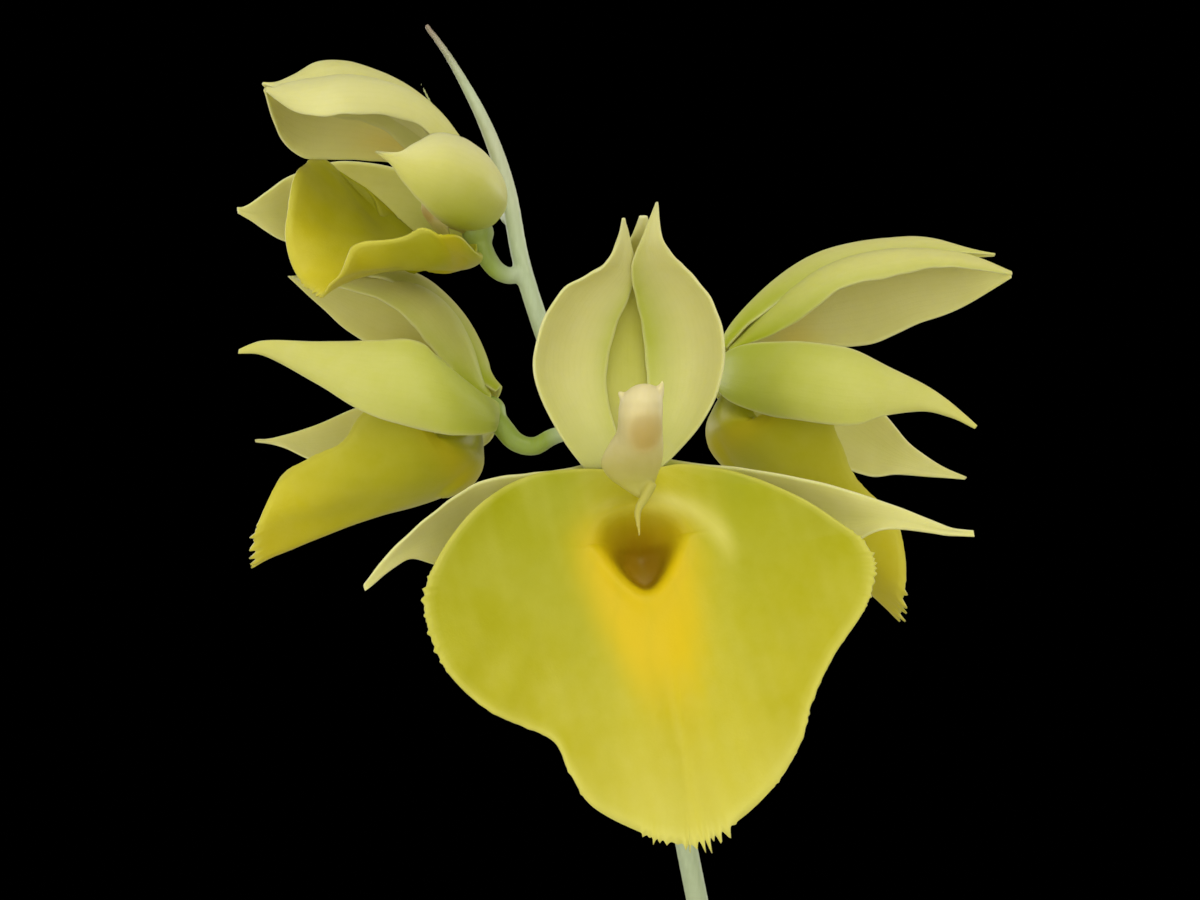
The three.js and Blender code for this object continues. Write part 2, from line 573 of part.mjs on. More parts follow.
const spikeSeat = tube(SPIKE_PATH.slice(0, 4), [3.6, 3.5, 3.3, 3.1], 8, 8).translate(0, 0, -1);
const bulbSeats = Object.values(BULBS).map((bulb) => solidOf(bulbGeometry(bulb, GAP)));
addNode("pot", potGeometry(), material.clay);
addNode("bark_medium", geometryOfSolid(mediumSolid([...bulbSeats, solidOf(spikeSeat)])), material.bark);
for (const [name, bulb] of Object.entries(BULBS)) addNode(name, bulbGeometry(bulb), material.bulb);
LEAVES.forEach((leaf, i) => addNode(`leaf_${i + 1}`, leafGeometry(leaf), material.leaf));
addNode("flower_spike", spikeGeometry(), material.spike);
for (const [name, flower] of Object.entries(FLOWERS)) group.add(flowerGroup(name, flower));

export default group;
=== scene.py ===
"""A potted Catasetum pileatum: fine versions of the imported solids, with their looks, lights and camera."""

import math

import bpy
import numpy as np
from mathutils import Matrix, Vector


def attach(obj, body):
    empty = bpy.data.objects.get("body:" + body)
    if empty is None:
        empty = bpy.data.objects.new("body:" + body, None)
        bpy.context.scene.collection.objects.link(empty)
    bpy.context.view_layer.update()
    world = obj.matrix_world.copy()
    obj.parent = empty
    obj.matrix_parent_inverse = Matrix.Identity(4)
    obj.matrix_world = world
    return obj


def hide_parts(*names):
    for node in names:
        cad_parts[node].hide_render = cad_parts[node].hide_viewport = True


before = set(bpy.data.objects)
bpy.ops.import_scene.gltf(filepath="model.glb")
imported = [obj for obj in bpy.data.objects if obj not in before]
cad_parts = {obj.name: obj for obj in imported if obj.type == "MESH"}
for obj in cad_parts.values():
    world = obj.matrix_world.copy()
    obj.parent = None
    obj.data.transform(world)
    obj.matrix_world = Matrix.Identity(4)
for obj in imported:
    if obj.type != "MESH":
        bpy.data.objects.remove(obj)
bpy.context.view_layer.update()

MM = 0.001
TUBE_START = (0.3, 0.9, 0.2)


# Small numeric helpers. Shapes are worked out in millimetres and become metres when a mesh is made.

def smooth(values, t):
    """A smooth curve through evenly spaced values, read at t from 0 to 1."""
    v = np.asarray(values, float)
    last = len(v) - 1
    x = np.clip(t, 0, 1) * last
    i = np.minimum(x.astype(int), last - 1)
    f = x - i
    a, b, c, d = (v[np.clip(i + k, 0, last)] for k in (-1, 0, 1, 2))
    return b + 0.5 * f * (c - a + f * (2 * a - 5 * b + 4 * c - d + f * (3 * (b - c) + d - a)))


def unit(v):
    return v / np.maximum(np.linalg.norm(v, axis=-1, keepdims=True), 1e-12)


def bezier(spine, t):
    """Points and directions along a cubic Bezier curve, evenly spaced by its length."""
    p = np.array(spine, float)
    s = np.linspace(0, 1, 401)[:, None]
    curve = (1 - s) ** 3 * p[0] + 3 * (1 - s) ** 2 * s * p[1] + 3 * (1 - s) * s ** 2 * p[2] + s ** 3 * p[3]
    length = np.concatenate([[0], np.cumsum(np.linalg.norm(np.diff(curve, axis=0), axis=1))])
    u = np.interp(np.clip(t, 0, 1) * length[-1], length, s[:, 0])[..., None]
    centre = (1 - u) ** 3 * p[0] + 3 * (1 - u) ** 2 * u * p[1] + 3 * (1 - u) * u ** 2 * p[2] + u ** 3 * p[3]
    along = (1 - u) ** 2 * (p[1] - p[0]) + 2 * (1 - u) * u * (p[2] - p[1]) + u ** 2 * (p[3] - p[2])
    return centre, unit(along)


def bell(value, centre, spread):
    return np.exp(-((value - centre) / spread) ** 2)


def ripple(x, y, seed):
    """A few crossing waves between -1 and 1, for soft unevenness."""
    draw = np.random.default_rng(seed)
    total = np.zeros(np.broadcast(x, y).shape)
    for k in range(5):
        angle = draw.uniform(0, math.tau)
        pitch = 1.3 ** k
        total += np.sin(pitch * (x * math.cos(angle) + y * math.sin(angle)) + draw.uniform(0, math.tau))
    return total / 5


# Meshes.

def normals_of(points, faces):
    normals = np.zeros_like(points)
    for block in faces:
        p = points[block]
        normal = np.cross(p[:, 2] - p[:, 0], p[:, -1] - p[:, 1])
        for k in range(block.shape[1]):
            np.add.at(normals, block[:, k], normal)
    return unit(normals)


def grid_faces(rows, columns, closed=False):
    """Quads between rows + 1 lines of points, each with columns + 1 points, or columns if the lines close."""
    width = columns if closed else columns + 1
    i, j = np.meshgrid(np.arange(rows), np.arange(columns), indexing="ij")
    right = (j + 1) % width
    corners = [i * width + j, i * width + right, (i + 1) * width + right, (i + 1) * width + j]
    return np.stack(corners, -1).reshape(-1, 4)


def shell(points, faces, rim, halves):
    """Gives an open surface a thickness to both sides and closes it along its rim."""
    offset = normals_of(points, faces) * halves[:, None]
    count = len(points)
    following = np.roll(rim, -1)
    sides = np.stack([following, rim, rim + count, following + count], -1)
    blocks = [*faces, *[block[:, ::-1] + count for block in faces], sides]
    return np.concatenate([points + offset, points - offset]), blocks


def sheet(points, halves, flip=False):
    """Shells a grid of points, given as rows by columns, each with its half thickness."""
    rows, columns = points.shape[0] - 1, points.shape[1] - 1
    ids = np.arange((rows + 1) * (columns + 1)).reshape(rows + 1, columns + 1)
    rim = np.concatenate([ids[0, :-1], ids[:-1, -1], ids[-1, :0:-1], ids[:0:-1, 0]])
    faces = grid_faces(rows, columns)
    if flip:
        faces, rim = faces[:, ::-1], rim[::-1]
    return shell(points.reshape(-1, 3), [faces], rim, halves.ravel())


def store(mesh, fields):
    """Stores vectors for each point, under the names that the materials read."""
    for field_name, values in fields.items():
        data = mesh.attributes.new(field_name, "FLOAT_VECTOR", "POINT").data
        data.foreach_set("vector", np.ascontiguousarray(values, np.float32).ravel())


def make(name, points, blocks, look, fields=None, matrix=None):
    """A smooth-shaded object from points in millimetres, with its stored fields."""
    mesh = bpy.data.meshes.new(name)
    mesh.from_pydata((points * MM).tolist(), [], [face for block in blocks for face in block.tolist()])
    store(mesh, fields or {})
    mesh.materials.append(look)
    mesh.shade_smooth()
    if matrix is not None:
        mesh.transform(matrix)
    mesh.update()
    thing = bpy.data.objects.new(name, mesh)
    bpy.context.scene.collection.objects.link(thing)
    return thing


def dress(thing, slot, *nodes):
    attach(thing, "root")
    if nodes:
        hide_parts(*nodes)
    return thing


def modified(thing, *modifiers):
    """Applies modifiers, each given as its kind and settings, and keeps the object's place."""
    for kind, settings in modifiers:
        modifier = thing.modifiers.new(kind.lower(), kind)
        for key, value in settings.items():
            setattr(modifier, key, value)
    bpy.context.view_layer.update()
    evaluated = thing.evaluated_get(bpy.context.evaluated_depsgraph_get())
    mesh = bpy.data.meshes.new_from_object(evaluated)
    thing.modifiers.clear()
    old = thing.data
    thing.data = mesh
    bpy.data.meshes.remove(old)
    mesh.shade_smooth()
    return thing


def capped(rows, sides):
    """Faces of rows + 1 rings, each with so many points, and of the two ends."""
    ring = np.arange(sides)
    return [grid_faces(rows, sides, closed=True), ring[::-1][None], (rows * sides + ring)[None]]


def tube_points(path, radii, sides, rows):
    """Rings of points along a smooth path, and its closed faces."""
    path = np.array(path, float)
    t = np.linspace(0, 1, rows + 1)
    dense = np.stack([smooth(path[:, k], np.linspace(0, 1, 40 * len(path))) for k in range(3)], -1)
    length = np.concatenate([[0], np.cumsum(np.linalg.norm(np.diff(dense, axis=0), axis=1))])
    centre = np.stack([np.interp(t * length[-1], length, dense[:, k]) for k in range(3)], -1)
    along = unit(np.gradient(centre, axis=0))
    side = unit(np.cross(along[0], TUBE_START))
    sides_at = []
    for direction in along:
        side = unit(side - direction * np.dot(side, direction))
        sides_at.append(side)
    first = np.array(sides_at)
    second = np.cross(along, first)
    angle = np.linspace(0, math.tau, sides, endpoint=False)
    radius = smooth(radii, t)[:, None, None]
    ring = centre[:, None] + radius * (
        np.cos(angle)[None, :, None] * first[:, None] + np.sin(angle)[None, :, None] * second[:, None]
    )
    return ring.reshape(-1, 3), capped(rows, sides)


def merged(*parts):
    """One list of points and faces from several."""
    points, blocks, start = [], [], 0
    for part_points, part_blocks in parts:
        points.append(part_points)
        blocks += [block + start for block in part_blocks]
        start += len(part_points)
    return np.concatenate(points), blocks


def fused(name, parts, look, voxel, passes):
    """Overlapping parts made into one closed body, smoothed a number of times."""
    thing = make(name, *merged(*parts), look)
    return modified(
        thing, ("REMESH", {"mode": "VOXEL", "voxel_size": voxel * MM}),
        ("SMOOTH", {"factor": 0.5, "iterations": passes}),
    )


def positions(mesh):
    """A mesh's points in millimetres."""
    points = np.empty(len(mesh.vertices) * 3)
    mesh.vertices.foreach_get("co", points)
    return points.reshape(-1, 3) / MM


def turned(profile, sides):
    """A closed solid of revolution about Z. Its profile of radius and height starts and ends on the axis."""
    profile = np.array(profile, float)
    angle = np.linspace(0, math.tau, sides, endpoint=False)
    inner = profile[1:-1]
    heights = np.repeat(inner[:, 1:], sides, 1)
    ring = np.stack([inner[:, :1] * np.cos(angle), inner[:, :1] * np.sin(angle), heights], -1)
    points = np.concatenate([ring.reshape(-1, 3), [[0, 0, profile[0, 1]], [0, 0, profile[-1, 1]]]])
    rows = len(inner) - 1
    low, high = len(points) - 2, len(points) - 1
    j = np.arange(sides)
    following = (j + 1) % sides
    bottom = np.stack([np.full(sides, low), following, j], -1)
    top = np.stack([np.full(sides, high), rows * sides + j, rows * sides + following], -1)
    return points, [grid_faces(rows, sides, closed=True), bottom, top]


# Materials: a node tree is written with these short calls.

def colour(text):
    """A linear colour from its hexadecimal sRGB value."""
    parts = [int(text[i:i + 2], 16) / 255 for i in (1, 3, 5)]
    return (*[c / 12.92 if c < 0.04045 else ((c + 0.055) / 1.055) ** 2.4 for c in parts], 1)


def add(tree, kind, inputs=None, **settings):
    node = tree.nodes.new("ShaderNode" + kind)
    for key, value in settings.items():
        setattr(node, key, value)
    for socket, value in (inputs or {}).items():
        if isinstance(value, bpy.types.NodeSocket):
            tree.links.new(value, node.inputs[socket])
        else:
            node.inputs[socket].default_value = value
    return node


def calc(tree, operation, *values, clamp=False):
    return add(tree, "Math", dict(enumerate(values)), operation=operation, use_clamp=clamp).outputs[0]


def mix(tree, factor, a, b):
    node = add(tree, "Mix", {0: factor, 6: a, 7: b}, data_type="RGBA")
    return node.outputs[2]


def ramp(tree, factor, *stops):
    """A colour ramp. Each stop is its place and a hexadecimal colour or a grey value."""
    node = add(tree, "ValToRGB", {"Fac": factor})
    elements = node.color_ramp.elements
    while len(elements) < len(stops):
        elements.new(0.5)
    for element, (place, shade) in zip(elements, stops):
        element.position = place
        element.color = colour(shade) if isinstance(shade, str) else (shade, shade, shade, 1)
    return node.outputs["Color"]


def noise(tree, scale, detail=3, roughness=0.5, vector=None):
    vector = vector or add(tree, "TexCoord").outputs["Object"]
    return add(
        tree, "TexNoise", {"Vector": vector, "Scale": scale, "Detail": detail, "Roughness": roughness}
    ).outputs["Fac"]


def field(tree, name):
    vector = add(tree, "Attribute", attribute_name=name).outputs["Vector"]
    return add(tree, "SeparateXYZ", {0: vector}).outputs


def new_look(name, sockets):
    look = bpy.data.materials.new(name)
    look.use_nodes = True
    shader = look.node_tree.nodes["Principled BSDF"]
    for socket, value in sockets.items():
        shader.inputs[socket].default_value = value
    return look, look.node_tree, shader


def layered(tree, shade, *layers):
    """A colour with others laid over it in turn, each given by its share and its hexadecimal value."""
    for share, text in layers:
        shade = mix(tree, share, shade, colour(text))
    return shade


def times(tree, value, factor):
    return calc(tree, "MULTIPLY", value, factor)


def part_of(tree, value, factor, offset):
    """A value scaled, shifted and kept between 0 and 1."""
    return calc(tree, "MULTIPLY_ADD", value, factor, offset, clamp=True)


def vein_lines(tree, across, count, wander, sharpness):
    """Fine lines along a blade, by its cross coordinate. They waver, and narrow with the sharpness."""
    phase = calc(tree, "MULTIPLY_ADD", across, count, wander)
    wave = calc(tree, "MULTIPLY_ADD", calc(tree, "SINE", phase), 0.5, 0.5)
    return calc(tree, "POWER", wave, sharpness)


def long_grain(tree, stretch, scale, detail, roughness):
    """Noise drawn out along Z."""
    place = add(tree, "TexCoord").outputs["Object"]
    drawn_out = add(tree, "Mapping", {"Vector": place, "Scale": (1.0, 1.0, stretch)}).outputs[0]
    return noise(tree, scale, detail, roughness, drawn_out)


def painted(tree, shader, shade, height=None, distance=0.0, strength=1.0):
    """Joins the colour and, where there is one, the relief to the shader."""
    tree.links.new(shade, shader.inputs["Base Color"])
    if height is not None:
        node = add(tree, "Bump", {"Height": height, "Distance": distance, "Strength": strength})
        tree.links.new(node.outputs["Normal"], shader.inputs["Normal"])


# Painted shade: the deep golden brown that the pouch's hollow is darkened towards, where shade falls inside
# it.
POUCH_PAINTED_SHADE = "#987404"


def tissue(name, base, washes, veins, roughness, vein_share, subsurface):
    """Living flower tissue: one colour washed with green, gold and a pale tone, with veins and mottling. The
    deep field lays painted shade into the lip's pouch, and the pale tone also carries a painted sheen on the
    open lip.
    """
    green, gold, pale = washes
    look, tree, shader = new_look(name, {
        "Roughness": roughness, "Subsurface Weight": subsurface, "Subsurface Scale": 0.0022,
        "Subsurface Radius": (1.0, 0.95, 0.35), "Specular IOR Level": 0.16,
    })
    form, wash, deep = (field(tree, kind) for kind in ("form", "wash", "deep"))
    vein = vein_lines(tree, form["Y"], veins, times(tree, noise(tree, 90, 2), 5.0), 5.0)
    mottle = noise(tree, 260, 4, 0.6)
    coloured = calc(tree, "ADD", calc(tree, "ADD", wash["X"], wash["Y"]), deep["X"], clamp=True)
    calm = calc(tree, "MULTIPLY_ADD", coloured, -0.85, 1.0)
    # The deep field mixes in painted shade inside the lip's pouch.
    shade = layered(
        tree, colour(base), (wash["X"], green), (wash["Y"], gold), (wash["Z"], pale),
        (deep["X"], POUCH_PAINTED_SHADE), (times(tree, vein, vein_share), green),
        (times(tree, part_of(tree, mottle, 0.45, -0.08), calm), pale),
    )
    cells = noise(tree, 2600, 2, 0.6)
    height = calc(tree, "ADD", times(tree, vein, 0.12), times(tree, cells, 0.4))
    height = calc(tree, "ADD", height, times(tree, mottle, 0.8))
    painted(tree, shader, shade, height, 0.00008, 0.7)
    return look


tepal_look = tissue(
    "tepal_tissue", "#cac472", ("#a3ac1a", "#cdb41a", "#dad6a0"),
    veins=40, roughness=0.45, vein_share=0.04, subsurface=0.5,
)
lip_look = tissue(
    "lip_tissue", "#bcb012", ("#979906", "#d3b600", "#d2ca66"),
    veins=34, roughness=0.4, vein_share=0.06, subsurface=0.25,
)
column_look = tissue(
    "column_tissue", "#cfc082", ("#b0aa3e", "#b89a48", "#ddd0a0"),
    veins=14, roughness=0.42, vein_share=0.03, subsurface=0.35,
)


def spike_look_made():
    look, tree, shader = new_look("spike_tissue", {
        "Roughness": 0.45, "Subsurface Weight": 0.15, "Subsurface Scale": 0.002,
        "Subsurface Radius": (0.8, 1.0, 0.4), "Specular IOR Level": 0.4,
    })
    wash = field(tree, "wash")
    grain = long_grain(tree, 0.12, 1500, 3, 0.55)
    shade = layered(
        tree, colour("#b9c59c"), (wash["X"], "#93a637"), (wash["Y"], "#7a4a4a"), (wash["Z"], "#d9cdb0"),
        (part_of(tree, grain, 0.5, -0.15), "#8d9c6c"),
    )
    painted(tree, shader, shade, grain, 0.00015, 0.6)
    return look


def leaf_look_made():
    look, tree, shader = new_look("leaf_blade", {
        "Roughness": 0.42, "Subsurface Weight": 0.08, "Subsurface Scale": 0.0015, "Specular IOR Level": 0.45,
        "Coat Weight": 0.08, "Coat Roughness": 0.3,
    })
    form = field(tree, "form")
    wander = noise(tree, 30, 2)
    vein = vein_lines(tree, form["Y"], 118.0, times(tree, wander, 2.0), 3.0)
    middle = ramp(tree, calc(tree, "ABSOLUTE", form["Y"]), (0.0, 1.0), (0.035, 0.0))
    base = ramp(tree, form["X"], (0.0, 1.0), (0.16, 0.0))
    tip = calc(tree, "MULTIPLY_ADD", form["X"], 14.0, calc(tree, "MULTIPLY_ADD", wander, 1.2, -13.9))
    shade = layered(
        tree, colour("#7f9a58"), (form["Z"], "#4d7a2a"), (times(tree, vein, 0.28), "#94b35a"),
        (times(tree, middle, 0.5), "#a3bb68"),
        (part_of(tree, noise(tree, 14, 4, 0.6), 0.9, -0.28), "#365f20"),
        (calc(tree, "MAXIMUM", tip, 0.0, clamp=True), "#8a6b38"), (times(tree, base, 0.55), "#b7c98a"),
    )
    height = calc(tree, "ADD", vein, times(tree, noise(tree, 1800, 2), 0.3))
    painted(tree, shader, shade, height, 0.00025, 0.8)
    return look


def bulb_look_made():
    look, tree, shader = new_look("pseudobulb_skin", {
        "Roughness": 0.42, "Subsurface Weight": 0.08, "Subsurface Scale": 0.002, "Specular IOR Level": 0.45,
    })
    form = field(tree, "form")
    grain = long_grain(tree, 0.14, 320, 5, 0.6)
    shade = ramp(tree, grain, (0.25, "#5f7433"), (0.5, "#86994a"), (0.75, "#a4ad63"))
    shade = layered(tree, shade, (form["X"], "#8b7a4c"), (form["Y"], "#c9b98c"))
    painted(tree, shader, shade, grain, 0.0005, 0.7)
    return look


def husk_look_made():
    look, tree, shader = new_look("dry_husk", {"Roughness": 0.75, "Specular IOR Level": 0.25})
    fibre = long_grain(tree, 0.06, 900, 4, 0.6)
    shade = ramp(tree, fibre, (0.3, "#a58f66"), (0.7, "#e2d8bd"))
    shade = layered(tree, shade, (part_of(tree, noise(tree, 45, 4, 0.6), 2.2, -1.1), "#7d6545"))
    painted(tree, shader, shade, fibre, 0.0004, 0.9)
    return look


def clay_look_made():
    look, tree, shader = new_look("fired_clay", {"Roughness": 0.86, "Specular IOR Level": 0.25})
    form = field(tree, "form")
    blotch = noise(tree, 18, 6, 0.62)
    salt = noise(tree, 60, 8, 0.72)
    damp = part_of(tree, form["Z"], -2.4, calc(tree, "MULTIPLY_ADD", blotch, 1.6, 0.1))
    bloom = ramp(tree, calc(tree, "ADD", salt, times(tree, form["Y"], 0.09)), (0.56, 0.0), (0.72, 1.0))
    shade = ramp(tree, blotch, (0.3, "#8a5138"), (0.5, "#a8694c"), (0.72, "#bd8465"))
    shade = layered(tree, shade, (times(tree, damp, 0.55), "#6d3a24"), (times(tree, bloom, 0.6), "#d9c9b4"))
    height = calc(tree, "ADD", noise(tree, 1400, 4, 0.65), times(tree, salt, 0.8))
    painted(tree, shader, shade, height, 0.0004, 0.7)
    return look


def bark_look_made():
    look, tree, shader = new_look("orchid_bark", {"Roughness": 0.9, "Specular IOR Level": 0.2})
    form = field(tree, "form")
    grain = noise(tree, 420, 5, 0.65)
    shade = ramp(tree, grain, (0.28, "#3a2417"), (0.5, "#6f4a2f"), (0.74, "#a1764d"))
    shade = layered(tree, shade, (form["X"], "#4a2e1e"), (form["Y"], "#b08a62"))
    painted(tree, shader, shade, grain, 0.0009, 0.9)
    return look


def moss_look_made():
    look, tree, shader = new_look("moss", {
        "Roughness": 0.8, "Subsurface Weight": 0.1, "Subsurface Scale": 0.001,
    })
    form = field(tree, "form")
    shade = layered(tree, colour("#3c5518"), (form["X"], "#9aae3c"), (noise(tree, 120, 3), "#627a24"))
    painted(tree, shader, shade)
    return look


spike_look = spike_look_made()
leaf_look = leaf_look_made()
bulb_look = bulb_look_made()
husk_look = husk_look_made()
clay_look = clay_look_made()
bark_look = bark_look_made()
moss_look = moss_look_made()


# Blades: tepals, leaves and bracts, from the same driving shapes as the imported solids.

TIP_HALF_WIDTH = 0.18
TEPAL_HALF = 0.42
TEPAL_ROWS, TEPAL_COLUMNS = 60, 30
MARGIN_WAVE = 0.35


def blade(spine, width, cup, shape, focus, rows, columns, half, lift=None):
    """A thin blade along a spine. Its inner face looks at the focus."""
    t = np.linspace(0, 1, rows + 1)
    q = np.linspace(-1, 1, columns + 1)
    centre, along = bezier(spine, t)
    across = unit(np.cross(along, np.array(focus, float) - centre))
    inward = np.cross(across, along)
    w = np.maximum(width * smooth(shape, t), TIP_HALF_WIDTH)[:, None]
    side = w * np.sin(q * cup) / cup
    rise = w * (1 - np.cos(q * cup)) / cup
    tt, qq = np.meshgrid(t, q, indexing="ij")
    if lift is not None:
        rise = rise + lift(tt, qq)
    points = centre[:, None] + across[:, None] * side[..., None] + inward[:, None] * rise[..., None]
    surface, blocks = sheet(points, half * (1 - 0.55 * np.abs(qq) ** 6))
    return surface, blocks, tt.ravel(), qq.ravel()


def two_faced(first, second, count):
    """A field with the same two values on both faces and 1 on the inner face, 0 on the outer."""
    face = np.repeat([1.0, 0.0], count)
    return np.stack([np.tile(first, 2), np.tile(second, 2), face], -1)


def lobe(edges, bulge, focus, lift):
    """A thin blade between two edges. Its middle bulges away from the focus by a share of its width."""
    t = np.linspace(0, 1, TEPAL_ROWS + 1)
    q = np.linspace(-1, 1, TEPAL_COLUMNS + 1)
    first, second = (
        np.stack([smooth(np.array(edge, float)[:, k], t) for k in range(3)], -1) for edge in edges
    )
    middle, chord = (first + second) / 2, second - first
    normal = unit(np.cross(chord, np.gradient(middle, axis=0)))
    inner = np.sign(np.sum(normal * (np.array(focus, float) - middle)))
    width = np.linalg.norm(chord, axis=1)
    depth = (smooth(bulge, t) * width)[:, None] * (1 - q ** 2)
    tt, qq = np.meshgrid(t, q, indexing="ij")
    rise = lift(tt, qq) - depth
    flat = first[:, None] + chord[:, None] * (q[:, None] + 1) / 2
    points = flat + inner * normal[:, None] * rise[..., None]
    thin = TEPAL_HALF * (1 - 0.6 * np.abs(qq) ** 6) * np.minimum(1, 0.45 + 4 * (1 - tt))
    surface, blocks = sheet(points, thin, flip=inner < 0)
    return surface, blocks, tt.ravel(), qq.ravel()


def tepal(name, form, matrix, wash, seed):
    """One sepal or petal. wash gives its green, gold and pale shares from t, q and the face."""
    draw = np.random.default_rng(seed)
    phase, pitch = draw.uniform(0, math.tau), draw.uniform(1.6, 2.4)

    def lift(t, q):
        margin = np.abs(q) ** 4 * np.sin(math.pi * np.clip(t, 0, 1)) ** 0.5
        waves = MARGIN_WAVE * margin * np.sin(math.tau * pitch * t + phase + 1.2 * np.sign(q))
        ripples = 0.1 * margin * np.sin(math.tau * 4.3 * pitch * t + 2 * phase)
        ribs = -0.03 * np.cos(3.5 * math.pi * q) * (1 - t) * np.minimum(1, 5 * t)
        return waves + ripples + ribs + 0.12 * ripple(7 * t, 3 * q, seed)

    points, blocks, t, q = lobe(lift=lift, **form)
    fields = two_faced(t, q, len(t))
    edge = bell(np.abs(fields[:, 1]), 1.0, 0.05) * 0.5
    shares = np.stack([np.broadcast_to(s, edge.shape) for s in wash(*fields.T)], -1).clip(0, 1)
    shares[:, 2] = np.maximum(shares[:, 2], edge)
    return make(name, points, blocks, tepal_look, {"form": fields, "wash": shares}, matrix)


def plain_wash(t, q, face):
    return 0.55 * bell(t, 0, 0.3) + 0.12 * bell(q, 0, 0.5), 0.0 * t, 0.25 * bell(t, 1, 0.4)


# The lip, laid flat and then folded. Its outline runs from the base to the tip on each side.
LIP_RIGHT = np.array([
    (0, -2.6), (4, -2.8), (9.5, -2.8), (19, 0.2), (26.6, 6), (32.6, 12), (36.6, 17.5), (37.6, 23), (35, 29.5),
    (28.5, 36.5), (23.5, 43.5), (20.5, 50), (14.5, 56.5), (6.8, 61.6), (0, 64),
])
LIP_LEFT = np.array([
    (0, -2.6), (4, -2.8), (9.5, -3), (18, -1.8), (26, 2.4), (34, 9.5), (37.4, 15.5), (37.6, 21.5),
    (35.6, 28.5), (30, 35.5), (20.5, 42), (18.6, 48), (15.4, 55), (6.5, 61.6), (0, 64),
])
LIP_SLIM = np.array([
    (0, -1.5), (4, -2.2), (9, -2.6), (15, -1), (21.5, 3), (28, 8), (32.2, 12.6), (34.4, 17), (33.5, 22.5),
    (29.5, 28.5), (24.5, 35), (21.5, 42.5), (18.5, 50.5), (10.5, 59.5), (0, 64.4),
])
LIP_NEAR = np.array([
    (0, -2), (4, -2.2), (9, -2), (15, -0.4), (21.5, 3), (27.5, 7.5), (31, 13.5), (30.5, 21), (27.5, 28),
    (24.5, 35), (21.5, 42.5), (18.5, 50), (13.5, 56.5), (7, 62), (0, 64.4),
])
LIP_FAR = np.array([
    (0, -2), (4, -2.2), (9, -2), (16, -0.8), (23.5, 2.4), (31, 8), (36.2, 15), (37.6, 22), (35.5, 30),
    (32, 37.5), (27, 45), (21, 52), (14, 58), (7, 62.5), (0, 64.4),
])
LIP_WIDTHS = np.array([
    (28, 2.3), (34.5, 8.5), (37.5, 15), (36, 21), (32, 27.5), (25.5, 36), (20, 44), (16.5, 50),
])
LIP_LENGTH, LIP_REACH, LIP_HALF, LIP_LEAST = 67, 36, 0.45, 13
TOOTH_FADE = 0.04
MOUTH_RING = 9.0
POUCH = {"along": 12.8, "across": 5.6, "depth": 7.5, "taper": 0.27, "reach": 6.8, "least": 1.5, "border": 1.6}
# The outline's teeth, its faint nicks and the long fringe at its tip, each with the stretch that it covers.
TEETH = {"from": 0.38, "until": 0.58, "spacing": 1.1, "height": 0.8, "unevenness": 1.0, "point": 1.1}
NICKS = {"from": 0.6, "until": 0.9, "spacing": 1.7, "height": 0.3, "unevenness": 2.0, "point": 1.0}
FRINGE = {"from": 0.915, "until": 1.2, "spacing": 1.2, "height": 4.6, "unevenness": 0.8, "point": 1.7}


# Flower shapes: x to the flower's right, y up and z out of its face. A tepal is given by its two edges,
# from base to tip, by how far its middle bulges away from the focus, and by the focus it cups round.

def mirrored(points):
    return [(-x, y, z) for x, y, z in points]


def cupped(first, second, bulge, focus):
    return {"edges": (first, second), "bulge": bulge, "focus": focus}


OPEN_PETAL_BULGE = (0.1, 0.16, 0.2, 0.2, 0.18, 0.16, 0.12, 0.08, 0.04)
HOOD_PETAL_BULGE = (0.1, 0.2, 0.25, 0.25, 0.25, 0.2, 0.15, 0.05)
SPOON_PETAL_BULGE = (0.1, 0.2, 0.25, 0.25, 0.25, 0.22, 0.2, 0.15, 0.05)
SEPAL_BULGE = (0.05, 0.12, 0.16, 0.18, 0.16, 0.14, 0.1, 0.05)
DEEP_SEPAL_BULGE = (0.05, 0.12, 0.18, 0.2, 0.16, 0.12, 0.1, 0.05)
